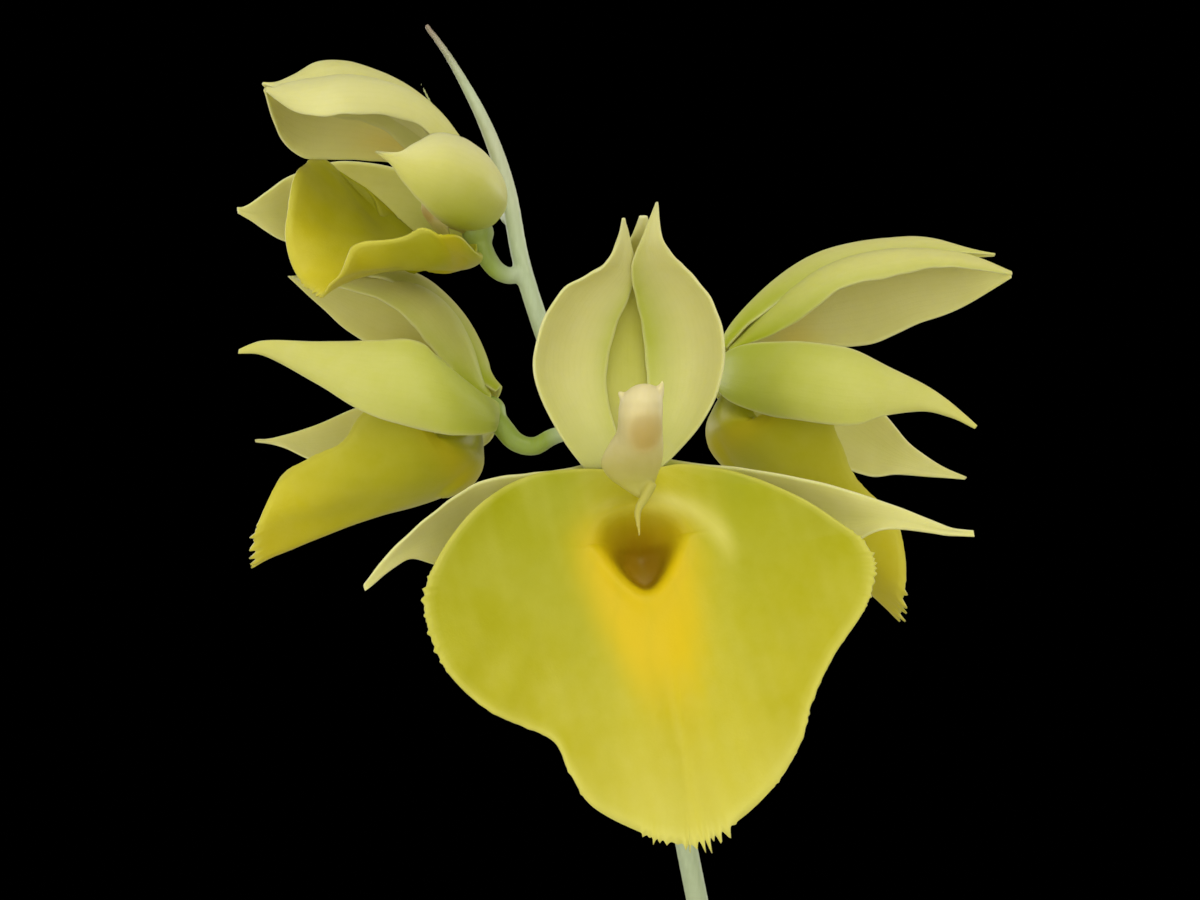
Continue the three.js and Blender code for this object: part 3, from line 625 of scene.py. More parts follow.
# A lip is folded round its spine. sweep draws its margins down, tilt turns it, pouch and teeth are shares.
SIDES_LIP = {
    "fold": 1.45, "scale": 0.83, "sweep": 2.5, "pouch": 0.12, "teeth": 0.5, "halves": (LIP_SLIM, LIP_SLIM),
}
OPEN = {
    "dorsal_sepal": cupped(
        [(-3, 1, -1.2), (-6.2, 10, -1.4), (-7, 19, -0.9), (-5.6, 27, 2.6), (-3, 33, 8), (-0.7, 36.6, 12.6),
         (0.3, 39, 16)],
        [(3, 1, -1.2), (6.4, 10, -1.4), (7.2, 19, -0.9), (6, 27, 2.6), (3.8, 33, 8), (2.5, 36.6, 12.6),
         (1.6, 39, 16)],
        bulge=(0.05, 0.08, 0.1, 0.12, 0.14, 0.1, 0.05), focus=(0, 20, 40),
    ),
    "petal_left": cupped(
        [(-8.4, -1.8, 0.4), (-13.2, 5, 3), (-16.8, 13.5, 6), (-15.8, 21, 8), (-12.2, 27.4, 10),
         (-8, 30.1, 12), (-5, 31.9, 14), (-3.2, 34.8, 16), (-2.4, 38.3, 18.4)],
        [(-1, -1.8, 0.6), (-3.4, 5.5, 0.4), (-4.7, 11.5, -0.2), (-4.7, 17, -0.2), (-3.4, 22.5, 1.6),
         (-1, 27.4, 5), (-0.1, 31, 9), (-1, 35, 13.6), (-2.1, 38.5, 18)],
        bulge=OPEN_PETAL_BULGE, focus=(0, 14, 40),
    ),
    "petal_right": cupped(
        [(4, -1.8, 0.4), (10.4, 5.4, 3), (13.6, 12, 5.4), (14.3, 19.5, 8), (12.4, 26, 10), (8.9, 30, 12),
         (6.2, 32.2, 14), (3.9, 35.6, 16.6), (3.1, 40.8, 19.6)],
        [(1, -1.8, 0.6), (2, 5.5, 0.4), (2.1, 11.5, -0.2), (1.8, 17, -0.2), (0.9, 22.5, 2.2), (-0.3, 27.4, 6),
         (-0.8, 31.6, 10.6), (0.6, 35.4, 15), (2.7, 40.4, 19.6)],
        bulge=OPEN_PETAL_BULGE, focus=(0, 14, 40),
    ),
    "lateral_sepal_left": cupped(
        [(-4.5, 0.3, -1), (-11, -1.4, -1), (-18, -2.3, 0.5), (-26, -3.9, 3), (-33.4, -8.5, 7.5),
         (-39.6, -14.6, 12), (-43.8, -19.8, 15.4)],
        [(-4, -3.5, -1.5), (-10, -9.5, -4), (-17, -15.5, -5), (-25, -18.5, -3), (-32.4, -17.8, 3),
         (-37.6, -16.4, 9), (-43.6, -20.9, 15.6)],
        bulge=(0.05, 0.1, 0.14, 0.16, 0.16, 0.12, 0.05), focus=(0, 0, 80),
    ),
    "lateral_sepal_right": cupped(
        [(4.5, 0.3, -1), (11, -0.8, -2), (18, -1.4, -0.5), (27, -3, 3), (35, -5.1, 6), (43.6, -8, 9),
         (50.6, -11, 11), (54.4, -11.4, 12.5)],
        [(4, -3.5, -1.5), (10, -9.5, -4), (17, -15.5, -4), (26, -18, -1), (33.6, -15.4, 4),
         (40.4, -11.4, 8.5), (49.4, -12, 11.5), (54.6, -12.4, 12.5)],
        bulge=(0.05, 0.1, 0.14, 0.16, 0.16, 0.14, 0.1, 0.05), focus=(0, 0, 80),
    ),
    "lip": {"spine": [(0, -4.2, 2), (1, -22, 7), (7, -45, 9), (9, -65, 13)], "fold": 0.5, "scale": 1},
    "column": 1.0,
}
HALF_DORSAL = [
    (2.6, 3.2, -1.2), (5, 6, 3.5), (6.8, 12.5, 8.6), (7.2, 18.5, 13), (6.8, 22.8, 17.5), (5.4, 25.2, 24),
    (3.2, 26.2, 31), (0.3, 26.8, 39),
]
HALF_INNER = [
    (1.2, 3.6, 0.6), (1.5, 8, 2.4), (1.8, 13.5, 4.6), (2, 19, 7.6), (2, 23, 11.8), (2, 25.6, 18),
    (1.8, 26.2, 27), (0.5, 26.8, 38.2),
]
HALF_OPEN = {
    "dorsal_sepal": cupped(
        mirrored(HALF_DORSAL),
        HALF_DORSAL,
        bulge=(0.3, 0.42, 0.45, 0.42, 0.38, 0.3, 0.2, 0.1), focus=(0, 5, 22),
    ),
    "petal_left": cupped(
        [(-3, 2, 0.4), (-6.5, 7, 6), (-9, 13, 12.5), (-9.2, 15.6, 18), (-9, 15.9, 23.8), (-8.2, 18.2, 28.6),
         (-5.5, 22.8, 34), (-0.8, 27.4, 39.8)],
        mirrored(HALF_INNER),
        bulge=HOOD_PETAL_BULGE, focus=(0, 5, 22),
    ),
    "petal_right": cupped(
        HALF_INNER,
        [(3, 1.6, 0), (6.5, 3, 4), (9, 6.5, 7.6), (9.5, 11, 11.2), (9.2, 15.4, 15.2), (7.5, 19.8, 21),
         (4.5, 23.4, 29), (0.8, 26.4, 38.4)],
        bulge=HOOD_PETAL_BULGE, focus=(0, 5, 22),
    ),
    "lateral_sepal_left": cupped(
        [(-4, 0.8, -1.5), (-14, 1.5, 1.5), (-22, 4.5, 9), (-25, 8, 18), (-25, 7.5, 27.5), (-23, 2.8, 37.5),
         (-21, -0.2, 45), (-20, -0.8, 48.6)],
        [(-3.9, -1.5, -1), (-13, -3.5, 2), (-21, -4.5, 9), (-25, -6, 17), (-25, -6.5, 27), (-23, -4.6, 36.8),
         (-21, -1.8, 43.5), (-20, -1.3, 48.4)],
        bulge=SEPAL_BULGE, focus=(0, 0, 22),
    ),
    "lateral_sepal_right": cupped(
        [(4, 0.8, -1.5), (14, 0.5, 1.5), (22, 4.3, 7.9), (25, 6.6, 12.2), (26, 6.4, 19.2), (25.5, 6.3, 29.6),
         (24, 7, 38.9), (22.5, 5.9, 43.6)],
        [(3.9, -2.5, -1.5), (13, -7.2, -1.5), (21, -9.8, 4), (24.5, -9.4, 10.5), (25.5, -6.6, 20.5),
         (25, -1.2, 29.3), (23.5, 4.3, 38.8), (22.5, 5, 43.9)],
        bulge=SEPAL_BULGE, focus=(0, 0, 22),
    ),
    "lip": {"spine": [(0, -4.2, 2), (0, -19.5, -2), (0, -15, 20), (0, -30.5, 45.5)], **SIDES_LIP},
    "column": 1.0,
}
RAISED_DORSAL = [
    (-2.5, 4.1, -0.8), (-5, 9.3, 1.6), (-6.5, 16.6, 6.1), (-7, 22.4, 11.1), (-6.5, 27, 16.3), (-5, 32, 22.5),
    (-3, 36.6, 30.1), (-0.4, 40.9, 40.4),
]
RAISED_INNER = [
    (-1.2, 4.6, 0), (-1.5, 11.5, 2.4), (-1.8, 19, 6), (-2, 25.8, 11), (-2, 31, 17.5), (-2, 35, 25),
    (-1.8, 38.4, 35.5), (-0.4, 39, 44.4),
]
RAISED = {
    "dorsal_sepal": cupped(
        RAISED_DORSAL,
        mirrored(RAISED_DORSAL),
        bulge=(0.3, 0.3, 0.34, 0.4, 0.44, 0.46, 0.5, 0.2), focus=(0, 10, 25),
    ),
    "petal_left": cupped(
        [(-3.2, 3.5, 0.2), (-7, 8.5, 5.8), (-8.5, 14.5, 10.7), (-9, 21.2, 15.3), (-8.8, 26.3, 21.8),
         (-7.2, 31.6, 28.5), (-4.8, 34.7, 35.3), (-0.5, 38.3, 44.7)],
        RAISED_INNER,
        bulge=HOOD_PETAL_BULGE, focus=(0, 10, 25),
    ),
    "petal_right": cupped(
        mirrored(RAISED_INNER),
        [(3.2, 4.2, 0.4), (7, 9.5, 6), (9, 13.2, 13), (9.4, 15.3, 20), (9, 18.6, 25.8), (8.3, 24.6, 31.6),
         (6, 30.2, 38.4), (0.6, 38.2, 45)],
        bulge=HOOD_PETAL_BULGE, focus=(0, 10, 25),
    ),
    "lateral_sepal_left": cupped(
        [(-4, 1.5, -1.5), (-13, 3.4, 1.8), (-20, 4.9, 7.6), (-24, 6, 12.6), (-25.8, 7.3, 20),
         (-26, 6.6, 27.5), (-25, 6.2, 34.4), (-24, 5.2, 39.9), (-23, 3.4, 45.6)],
        [(-4, -3, -1), (-13, -7, 3), (-20, -8.2, 10), (-24, -7.7, 15.6), (-25.8, -5.6, 24.5),
         (-25.8, -1.7, 29.5), (-25, 1.8, 35.5), (-24, 2.9, 40.5), (-23, 2.7, 45.4)],
        bulge=(0.05, 0.12, 0.18, 0.2, 0.18, 0.16, 0.12, 0.08, 0.05), focus=(0, 0, 22),
    ),
    "lateral_sepal_right": cupped(
        [(4, 1.5, -1.5), (14, 7, 4), (21, 12, 15), (24, 12.7, 27), (24, 8.8, 34.2), (23, 4.9, 40.7),
         (22, 3.1, 47.4), (21, 2.5, 53.4)],
        [(4, -3, -1), (14, -5, 6), (21, -4.5, 16), (24, -4.5, 26), (24, -4, 35.5), (23, -1.8, 40.3),
         (22, 0, 46.6), (21, 2, 53.2)],
        bulge=DEEP_SEPAL_BULGE, focus=(0, 0, 22),
    ),
    "lip": {"spine": [(0, -4.2, 2), (0, -19.5, -2.5), (0, -15.5, 18), (0, -32, 50)], **SIDES_LIP},
    "column": 1.0,
}
SPOONED_DORSAL = [
    (2.6, 3.4, -0.6), (6, 9.3, 5.1), (8, 14.5, 11.4), (8.5, 18, 16.4), (8.5, 19.5, 21.8), (8, 19.3, 28.2),
    (6.4, 18.9, 35), (3.4, 19.6, 40), (0.3, 20.9, 43.6),
]
SPOONED_INNER = [
    (1.2, 3.8, 0.2), (1.6, 9, 3.4), (2, 14.5, 7.2), (2.2, 19.4, 13), (2.2, 22.8, 19.6), (2.2, 24.2, 28),
    (2, 22.8, 34.8), (1.4, 21.4, 39.4), (0.4, 20.4, 43),
]
SPOONED = {
    "dorsal_sepal": cupped(
        mirrored(SPOONED_DORSAL),
        SPOONED_DORSAL,
        bulge=(0.3, 0.36, 0.36, 0.35, 0.4, 0.5, 0.52, 0.4, 0.2), focus=(0, 5, 22),
    ),
    "petal_left": cupped(
        [(-3, 3, -0.6), (-8, 8.6, 4.6), (-10, 12.7, 11.3), (-11.2, 13.1, 16), (-12, 12.3, 22.6),
         (-12, 11.4, 30.1), (-10, 13.2, 35.3), (-6, 15.8, 39), (-0.6, 19.6, 42.8)],
        mirrored(SPOONED_INNER),
        bulge=SPOON_PETAL_BULGE, focus=(0, 5, 22),
    ),
    "petal_right": cupped(
        SPOONED_INNER,
        [(3, 2.6, 0.4), (8, 7.1, 5.9), (10.5, 12.1, 12.4), (11.2, 15.8, 17.4), (11.6, 16.4, 23.9),
         (11.5, 15.2, 31.3), (10, 14.4, 36), (6.5, 15.6, 40), (0.6, 19.5, 43)],
        bulge=SPOON_PETAL_BULGE, focus=(0, 5, 22),
    ),
    "lateral_sepal_left": cupped(
        [(-4, 2, -1), (-12, 9, 3), (-18, 13.4, 8.9), (-22, 14, 19.8), (-23, 10.4, 28.6), (-22.5, 6.3, 33.8),
         (-22, 3, 37.7), (-21.5, 2.3, 39.8)],
        [(-4, -1, -0.5), (-12, -2, 3), (-18, -2.6, 8), (-22, -3.4, 18.7), (-23, -3.2, 26),
         (-22.5, -2.3, 31.3), (-22, 0, 36.2), (-21.5, 1.2, 39.6)],
        bulge=DEEP_SEPAL_BULGE, focus=(0, 0, 22),
    ),
    "lateral_sepal_right": cupped(
        [(4, 2.9, 0.2), (10, 6.5, 0.8), (14, 9.2, 4.1), (17, 11.4, 8.1), (19, 12.8, 12.9), (20.5, 12.6, 18.4),
         (21, 10.2, 22.6), (21, 8, 26), (21, 7.6, 29.9)],
        [(4, 0.4, 0.6), (10, -0.6, 3.6), (14, -2.2, 8), (17, -2.8, 12.8), (19, -1.8, 17.2), (20.5, 0, 21),
         (21, 2.6, 24.2), (21, 5.9, 27.2), (21, 7.4, 30.1)],
        bulge=(0.1, 0.24, 0.36, 0.4, 0.4, 0.36, 0.25, 0.12, 0.05), focus=(0, 3, 16),
    ),
    "lip": {
        "spine": [(0, -4.2, 2), (0, -9, 2), (0, -5, 24), (0, -16, 31.5)],
        "fold": 1.2, "scale": 0.74, "tilt": -20, "sweep": 12, "pouch": 0.15, "teeth": 0.5,
        "halves": (LIP_NEAR, LIP_FAR),
    },
    "column": 0.45,
}

# The first flower faces the front, the second is at the upper left, the third below it and the fourth right.
FLOWERS = {
    "flower_1": {
        "shape": OPEN, "at": (-64, -75, 374), "azimuth": 0, "elevation": -8, "roll": 0,
        "pedicel": [(-69.5, -36.5, 369), (-68.5, -46, 363), (-66.5, -60, 364.5), (-64.5, -70, 371)],
    },
    "flower_2": {
        "shape": SPOONED, "at": (-93, -46, 421), "azimuth": -60, "elevation": 0, "roll": -6,
        "pedicel": [(-84.6, -43.4, 414), (-87, -44, 413.2), (-89.6, -45, 414.2), (-91.8, -46, 417.3)],
    },
    "flower_3": {
        "shape": HALF_OPEN, "at": (-91, -36.5, 388.5), "azimuth": -90, "elevation": 0, "roll": 5,
        "pedicel": [
            (-74.5, -39.5, 384.5), (-79, -38, 383.4), (-82.5, -37, 381.7), (-86, -36.5, 382.6),
            (-88.5, -36.5, 385.3),
        ],
    },
    "flower_4": {
        "shape": RAISED, "at": (-46.7, -37.5, 396), "azimuth": 90, "elevation": -22, "roll": 0,
        "pedicel": [(-75.5, -39.5, 388), (-70, -38, 384.5), (-60, -37, 386.5), (-51.5, -37.5, 392.5)],
    },
}


def flower_matrix(flower):
    a, e = math.radians(flower["azimuth"]), math.radians(flower["elevation"])
    out = Vector((math.sin(a) * math.cos(e), -math.cos(a) * math.cos(e), math.sin(e)))
    right = Vector((0, 0, 1)).cross(out).normalized()
    basis = Matrix((right, out.cross(right), out)).transposed().to_4x4()
    basis = basis @ Matrix.Rotation(math.radians(flower["roll"]), 4, "Z")
    return Matrix.Translation(Vector(flower["at"]) * MM) @ basis


def faded_in(value, start, over):
    """0 up to the start, then rising evenly to 1."""
    return np.clip((value - start) / over, 0, 1)


def lip_outline(form, steps, seed):
    """Both halves of the outline as one loop: plain points, and how far each one's tooth stands out."""
    draw = np.random.default_rng(seed)
    t = 1 - (1 - np.linspace(0, 1, steps + 1)) ** 1.25
    straight_down = faded_in(t, FRINGE["from"], TOOTH_FADE)[:, None]
    loops, teeth = [], []
    for outline, side in zip(form.get("halves", (LIP_RIGHT, LIP_LEFT)), (1, -1)):
        edge = np.stack([side * smooth(outline[:, 0], t), smooth(outline[:, 1], t)], -1)
        run = np.concatenate([[0], np.cumsum(np.linalg.norm(np.diff(edge, axis=0), axis=1))])
        height = np.zeros(steps + 1)
        for kind in (TEETH, NICKS, FRINGE):
            place = run / kind["spacing"] + 0.35 * np.sin(run * 0.9)
            tallness = draw.uniform(0, 1, 400)[np.floor(place).astype(int) + 5] ** kind["unevenness"]
            shape = 1 - np.abs(2 * (place % 1) - 1)
            on = faded_in(t, kind["from"], TOOTH_FADE) * np.clip((kind["until"] - t) / TOOTH_FADE, 0, 1)
            height += kind["height"] * tallness * shape ** kind["point"] * on
        out = unit(np.stack([np.gradient(edge[:, 1]), -np.gradient(edge[:, 0])], -1) * side)
        out = unit(out * (1 - straight_down) + np.array([0.15 * side, 1]) * straight_down)
        loops.append(edge)
        teeth.append(out * height[:, None] * form.get("teeth", 1))
    return [np.concatenate([a[0], a[1][1:-1][::-1]]) for a in (loops, teeth)]


def lip_place(form, across, along, relief):
    """Where a point of the flat lip goes once the lip is folded and bent along its spine."""
    fold, scale = form["fold"], form["scale"]
    lean = math.radians(form.get("tilt", 0))
    centre, down = bezier(form["spine"], np.maximum(along, 0) / LIP_LENGTH)
    inward = unit(np.cross(np.array([-math.cos(lean), -math.sin(lean), 0.0]), down))
    side = -np.cross(down, inward)
    slide = np.minimum(along, 0) * scale + form.get("sweep", 0) * (across / LIP_REACH) ** 2
    half_width = np.maximum(np.interp(along, LIP_WIDTHS[:, 1], LIP_WIDTHS[:, 0]), LIP_LEAST)
    radius = half_width * scale / fold
    angle = across * scale / radius
    rise = radius * (1 - np.cos(angle)) + relief * scale
    return centre + down * slide[:, None] + side * (radius * np.sin(angle))[:, None] + inward * rise[:, None]


def pouch_distance(across, along):
    """1 on the mouth's rim, less inside: a heart-shaped mouth, broad towards the base and round below."""
    below = along - POUCH["along"]
    width = np.maximum(POUCH["across"] - POUCH["taper"] * (below + POUCH["reach"]), POUCH["least"])
    return np.hypot(across / (width + POUCH["border"]), below / POUCH["reach"])


def pouch_share(across, along):
    """1 at the bottom of the pouch and 0 outside it, with a soft upper edge and a crisp lower one."""
    steep = 11 + 17 * np.clip((along - POUCH["along"]) / POUCH["reach"], -0.4, 1)
    return 1 / (1 + np.exp(steep * (pouch_distance(across, along) - 0.92)))


def lip_relief(depth, across, along, reach, seed):
    """How far the flat lip stands up. depth scales the pouch and the swelling round its mouth."""
    pouch, mouth = pouch_share(across, along), pouch_distance(across, along)
    away = np.clip((np.hypot(across, along - POUCH["along"]) - 14) / 16, 0, 1)
    outer = np.clip(reach * 1.6 - 0.6, 0, 1)
    pleats = 19 * np.arctan2(across, along + 6) + 2.5 * ripple(0.1 * across, 0.1 * along, seed)
    above = 0.5 + 1.1 * np.clip((POUCH["along"] - along) / 8, 0, 1)
    relief = -POUCH["depth"] * depth * pouch
    relief += 0.5 * np.sin(0.35 * along + 0.2 * np.abs(across)) * np.minimum(1, np.abs(across) / 30)
    relief += 0.22 * outer * away * np.sin(pleats)
    relief += 0.4 * outer ** 2 * away * ripple(0.22 * across, 0.22 * along, seed + 1)
    relief -= 1.6 * depth * pouch * np.exp(-mouth ** 2 / 0.2)
    relief += depth * bell(mouth, 1.25, 0.28) * above
    relief -= 0.8 * bell(across, 1.5, 2.4) * faded_in(along, 24, 20)
    relief += 0.6 * (bell(across, 7, 3.5) + bell(across, -4.5, 3.5)) * faded_in(along, 22, 20)
    return relief


def lip(name, form, matrix, ring, rows, seed, wash):
    """The lip as rings of points round the pouch, laid flat, raised into relief and then folded."""
    edge, teeth = lip_outline(form, ring // 2, seed)
    middle = np.array([0, POUCH["along"]])
    far = np.linalg.norm(edge - middle, axis=1)
    inner_rows = rows // 3
    flat = [middle[None]]
    for k in range(1, rows + 1):
        inner = MOUTH_RING * min(k / inner_rows, 1) / np.maximum(far, MOUTH_RING + 1)
        outward = max(k - inner_rows, 0) / (rows - inner_rows)
        share = (inner + (1 - inner) * outward)[:, None]
        flat.append(middle + (edge - middle) * share + teeth * outward ** 8)
    across, along = np.concatenate(flat).T
    reach = np.concatenate([[0], np.repeat(np.arange(1, rows + 1) / rows, ring)])
    depth = form.get("pouch", 1)
    points = lip_place(form, across, along, lip_relief(depth, across, along, reach, seed))
    j = np.arange(ring)
    fan = np.stack([np.zeros(ring, int), 1 + (j + 1) % ring, 1 + j], -1)
    bands = grid_faces(rows - 1, ring, closed=True) + 1
    rim = (1 + (rows - 1) * ring + j)[::-1]
    surface, blocks = shell(points, [fan, bands], rim, LIP_HALF * (1 - 0.6 * reach ** 10))
    face = np.repeat([1.0, 0.0], len(points))
    across, along, reach = (np.tile(values, 2) for values in (across, along, reach))
    pouch = pouch_share(across, along)
    return make(name, surface, blocks, lip_look, {
        "form": np.stack([along / LIP_LENGTH, np.arctan2(across, along + 6), face], -1),
        "wash": np.stack(wash(across, along, pouch, reach, face), -1).clip(0, 1),
        # deep: how strongly painted shade darkens the pouch's hollow, on the inner face only.
        "deep": np.stack([depth * 0.95 * pouch * face, 0 * face, 0 * face], -1),
    }, matrix)


def open_lip_wash(across, along, pouch, reach, face):
    middle = 0.075 * along - 2.1
    spread = np.clip(9.6 - 0.17 * (along - 18), 4.5, 10)
    window = 1 / (1 + np.exp((7 - along) / 1.6)) / (1 + np.exp((along - 37) / 3.6))
    patch = np.exp(-np.abs((across - middle) / spread) ** 4) * window * face
    green = np.clip(0.95 - 0.016 * along, 0.05, 1) * np.clip(np.abs(across - 2) / 14, 0.2, 1)
    gold = np.clip(1.15 * patch * (1 - 0.8 * pouch), 0, 1)
    # Painted sheen: a pale arc round the upper right of the pouch's mouth, where light catches the swelling
    # there.
    painted_sheen = bell(np.hypot(across - 2, along - 15), 11.8, 1.9)
    painted_sheen *= np.clip(across / 6, 0, 1) * np.clip((19 - along) / 8, 0, 1)
    streaks = 0.12 * ripple(0.9 * across, 0.12 * along, 77) * (1 - patch)
    pale = 0.5 * bell(reach, 1, 0.03) + 0.45 * faded_in(along, 42, 20) + 0.75 * painted_sheen * face + streaks
    return green, gold, pale


def folded_lip_wash(across, along, pouch, reach, face):
    green = face * 0.9 * np.clip(1 - along / 70, 0, 1) + 0.72 * (1 - face) * np.clip(1.15 - along / 60, 0, 1)
    gold = 0.25 * faded_in(along, 36, 27) + 0.35 * (1 - face) * bell(along, 12, 5)
    return green, gold, 0.35 * bell(reach, 1, 0.03) * faded_in(along, 12, 10)


# The column: several soft bodies fused into one, with its stigmatic hollow pressed in below the head.
BALL_RINGS, BALL_SIDES = 12, 20


def ball(centre, radii):
    angle = np.linspace(0, math.pi, BALL_RINGS)
    points, blocks = turned(np.stack([np.sin(angle), -np.cos(angle)], -1), BALL_SIDES)
    return points * np.array(radii) + np.array(centre), blocks


# Sections of the column from its cap down to the point of its apron: centre, half width and half depth.
COLUMN_SECTIONS = [
    (1.0, 11.2, 22.4, 1.6, 1.4), (0.7, 10.4, 22.8, 2.9, 2.8), (0.4, 8.6, 23, 3.45, 3.5),
    (0.3, 6.2, 22.3, 3.5, 3.6), (0.2, 4, 20.5, 3.7, 3.2), (-0.4, 1.8, 18.2, 4.5, 2.8),
    (-1, -0.4, 16.1, 4.9, 2.2), (-0.8, -2.6, 14.8, 4, 1.6), (0, -4.4, 14.5, 2.5, 1.2),
    (0.9, -6, 14.8, 0.9, 0.8),
]
COLUMN_CORE = [(0, 0.9, 3.7), (0, 2.6, 11), (0.2, 5, 18.5), (0.4, 7.6, 22)]
HEAD_HORNS = [
    ([(2.4, 9.4, 23), (3.3, 11, 23.6), (3.8, 12.6, 24.4)], [1.4, 0.8, 0.15], 12),
    ([(-1.6, 9.2, 23), (-2.6, 10.2, 23.3), (-3.1, 10.8, 23.4)], [1.3, 0.8, 0.3], 10),
]
ANTENNA = [(2.3, -3.6, 15.2), (1.1, -6, 16.2), (0, -8.2, 18), (0.2, -11.8, 21.6)]
TUCKED_ANTENNA = [(-1.6, -3.2, 14.2), (-0.8, -4.8, 12.2), (0, -5.4, 10.4)]
COLUMN_HOLLOW = (1.2, 4.4, 24.4)
HOLLOW_SIZE = (1.15, 1.5, 1.6)
HOLLOW_DEPTH = 1.1
COLUMN_VOXEL = 0.28


def column_loft(sections, sides, rows):
    """A closed body through sections that stay square to its path in the YZ plane."""
    data = np.array(sections, float)
    t = np.linspace(0, 1, rows + 1)
    x, y, z, wide, deep = (smooth(data[:, k], t)[:, None] for k in range(5))
    along = unit(np.stack([np.zeros(rows + 1), np.gradient(y[:, 0]), np.gradient(z[:, 0])], -1))
    angle = np.linspace(0, math.tau, sides, endpoint=False)[None]
    across, out = wide * np.cos(angle), deep * np.sin(angle)
    points = np.stack([x + across, y + out * -along[:, 2:], z + out * along[:, 1:2]], -1)
    return points.reshape(-1, 3), capped(rows, sides)


def column(name, size, matrix):
    thing = fused(name, [
        column_loft(COLUMN_SECTIONS, 28, 48),
        tube_points(COLUMN_CORE, [2.6, 2.6, 3, 3.2], 20, 30),
        *[tube_points(path, radii, 12, rows) for path, radii, rows in HEAD_HORNS],
        tube_points(ANTENNA, [1, 0.75, 0.5, 0.2], 12, 30),
        tube_points(TUCKED_ANTENNA, [0.9, 0.7, 0.3], 12, 20),
    ], column_look, COLUMN_VOXEL, 5)
    mesh = thing.data
    co = positions(mesh)
    near = np.linalg.norm((co - COLUMN_HOLLOW) / HOLLOW_SIZE, axis=1)
    press = np.exp(-(near / 2.1) ** 4)
    co -= press[:, None] * unit(np.array([0, 0.35, 0.95])) * HOLLOW_DEPTH
    co[:, 2] -= 0.3 * (bell(co[:, 1], 8.1, 0.9) * faded_in(co[:, 2], 21, 2))
    x, y, z = co.T
    gold = 0.8 * np.exp(-(near / 2.6) ** 4) + 0.4 * np.clip((-7 - y) / 4, 0, 1)
    green = 0.55 * np.clip((12 - z) / 8, 0, 1) + 0.85 * np.clip((3.5 - y) / 7, 0, 1)
    store(mesh, {
        "form": np.stack([faded_in(y, -6, 17), x / 4, np.ones(len(co))], -1),
        "wash": np.stack([green, gold, 0.6 * bell(y, 10, 3)], -1).clip(0, 1),
    })
    mesh.vertices.foreach_set("co", (co * size * MM).ravel())
    mesh.transform(matrix)
    mesh.update()
    return thing


# Where each sepal and petal is green, gold or pale.

def hood_petal_wash(t, face, inner, strength, spread):
    green = face * strength * inner * bell(t, 0.5, spread) + 0.5 * bell(t, 0, 0.22)
    return green, 0 * t, 0.25 * (1 - inner) + 0.4 * bell(t, 1, 0.15)


def left_petal_wash(t, q, face):
    return hood_petal_wash(t, face, np.clip(q, 0, 1) ** 3, 0.8, 0.3)


def right_petal_wash(t, q, face):
    return hood_petal_wash(t, face, np.clip(0.25 + 0.75 * q, 0, 1) ** 1.7, 0.95, 0.34)


def green_heart_wash(t, q, face):
    green = 0.6 * face * bell(t, 0.4, 0.42) + 0.3 * (1 - face)
    return green, 0.15 * face * bell(t, 0.5, 0.36), 0.9 * bell(t, 1, 0.2)


def near_petal_wash(t, q, face):
    gold = 0.9 * face * bell(t, 0.3, 0.14) * bell(q, 0.5, 0.5)
    return 0.5 * bell(t, 0, 0.3), gold, 0.35 * bell(t, 0.75, 0.4)


def far_petal_wash(t, q, face):
    return 0.3 * bell(t, 0, 0.3), face * bell(t, 0.38, 0.13) * bell(q, -0.45, 0.55), 0.45 * face


def spoon_wash(t, q, face):
    low = np.clip(0.45 + 0.75 * q, 0, 1)
    green = 0.95 * (1 - face) * low * bell(t, 0.25, 0.5) + 0.3 * bell(t, 0, 0.2)
    return green, 0.1 * low, 0.5 * np.clip(-q, 0, 1)


def green_back_wash(t, q, face):
    green = (1 - face) * (0.5 * bell(t, 0.1, 0.4) + 0.3 * bell(np.abs(q), 1, 0.4)) + 0.3 * bell(t, 0, 0.25)
    return green, 0 * t, 0.3 * face


def green_base_wash(t, q, face):
    return 0.22 + 0.78 * bell(t, 0, 0.48), 0.1 * bell(t, 0.95, 0.15), 0 * t


def shelf_wash(t, q, face):
    brown = face * bell(t, 0.26, 0.1) * np.clip(0.3 + 0.7 * q, 0, 1)
    return 0.3 * bell(t, 0, 0.3), 0.8 * brown, 0.3 * face


WASHES = {
    ("flower_1", "dorsal_sepal"): green_heart_wash,
    ("flower_1", "petal_left"): left_petal_wash,
    ("flower_1", "petal_right"): right_petal_wash,
    ("flower_2", "petal_right"): near_petal_wash,
    ("flower_2", "petal_left"): far_petal_wash,
    ("flower_2", "lateral_sepal_right"): spoon_wash,
    ("flower_3", "lateral_sepal_right"): green_base_wash,
    ("flower_4", "lateral_sepal_left"): green_base_wash,
    ("flower_3", "dorsal_sepal"): green_back_wash,
    ("flower_4", "dorsal_sepal"): green_back_wash,
    ("flower_3", "petal_right"): green_back_wash,
    ("flower_4", "petal_left"): green_back_wash,
    ("flower_4", "petal_right"): shelf_wash,
}


TEPALS = ("dorsal_sepal", "petal_left", "petal_right", "lateral_sepal_left", "lateral_sepal_right")
OPEN_LIP_GRID = (700, 40)
FOLDED_LIP_GRID = (360, 28)


def flower(name, number):
    data = FLOWERS[name]
    shape = data["shape"]
    matrix = flower_matrix(data)
    for index, part in enumerate(TEPALS):
        wash = WASHES.get((name, part), plain_wash)
        thing = tepal(f"{name}_{part}_skin", shape[part], matrix, wash, 10 * number + index)
        dress(thing, "tepal", f"{name}_{part}")
    grid, lip_wash = (OPEN_LIP_GRID, open_lip_wash) if shape is OPEN else (FOLDED_LIP_GRID, folded_lip_wash)
    thing = lip(f"{name}_lip_skin", shape["lip"], matrix, *grid, 10 * number + 5, lip_wash)
    dress(thing, "lip", f"{name}_lip")
    dress(column(f"{name}_column_skin", shape["column"], matrix), "column", f"{name}_column")


for number, flower_name in enumerate(FLOWERS, 1):
    flower(flower_name, number)


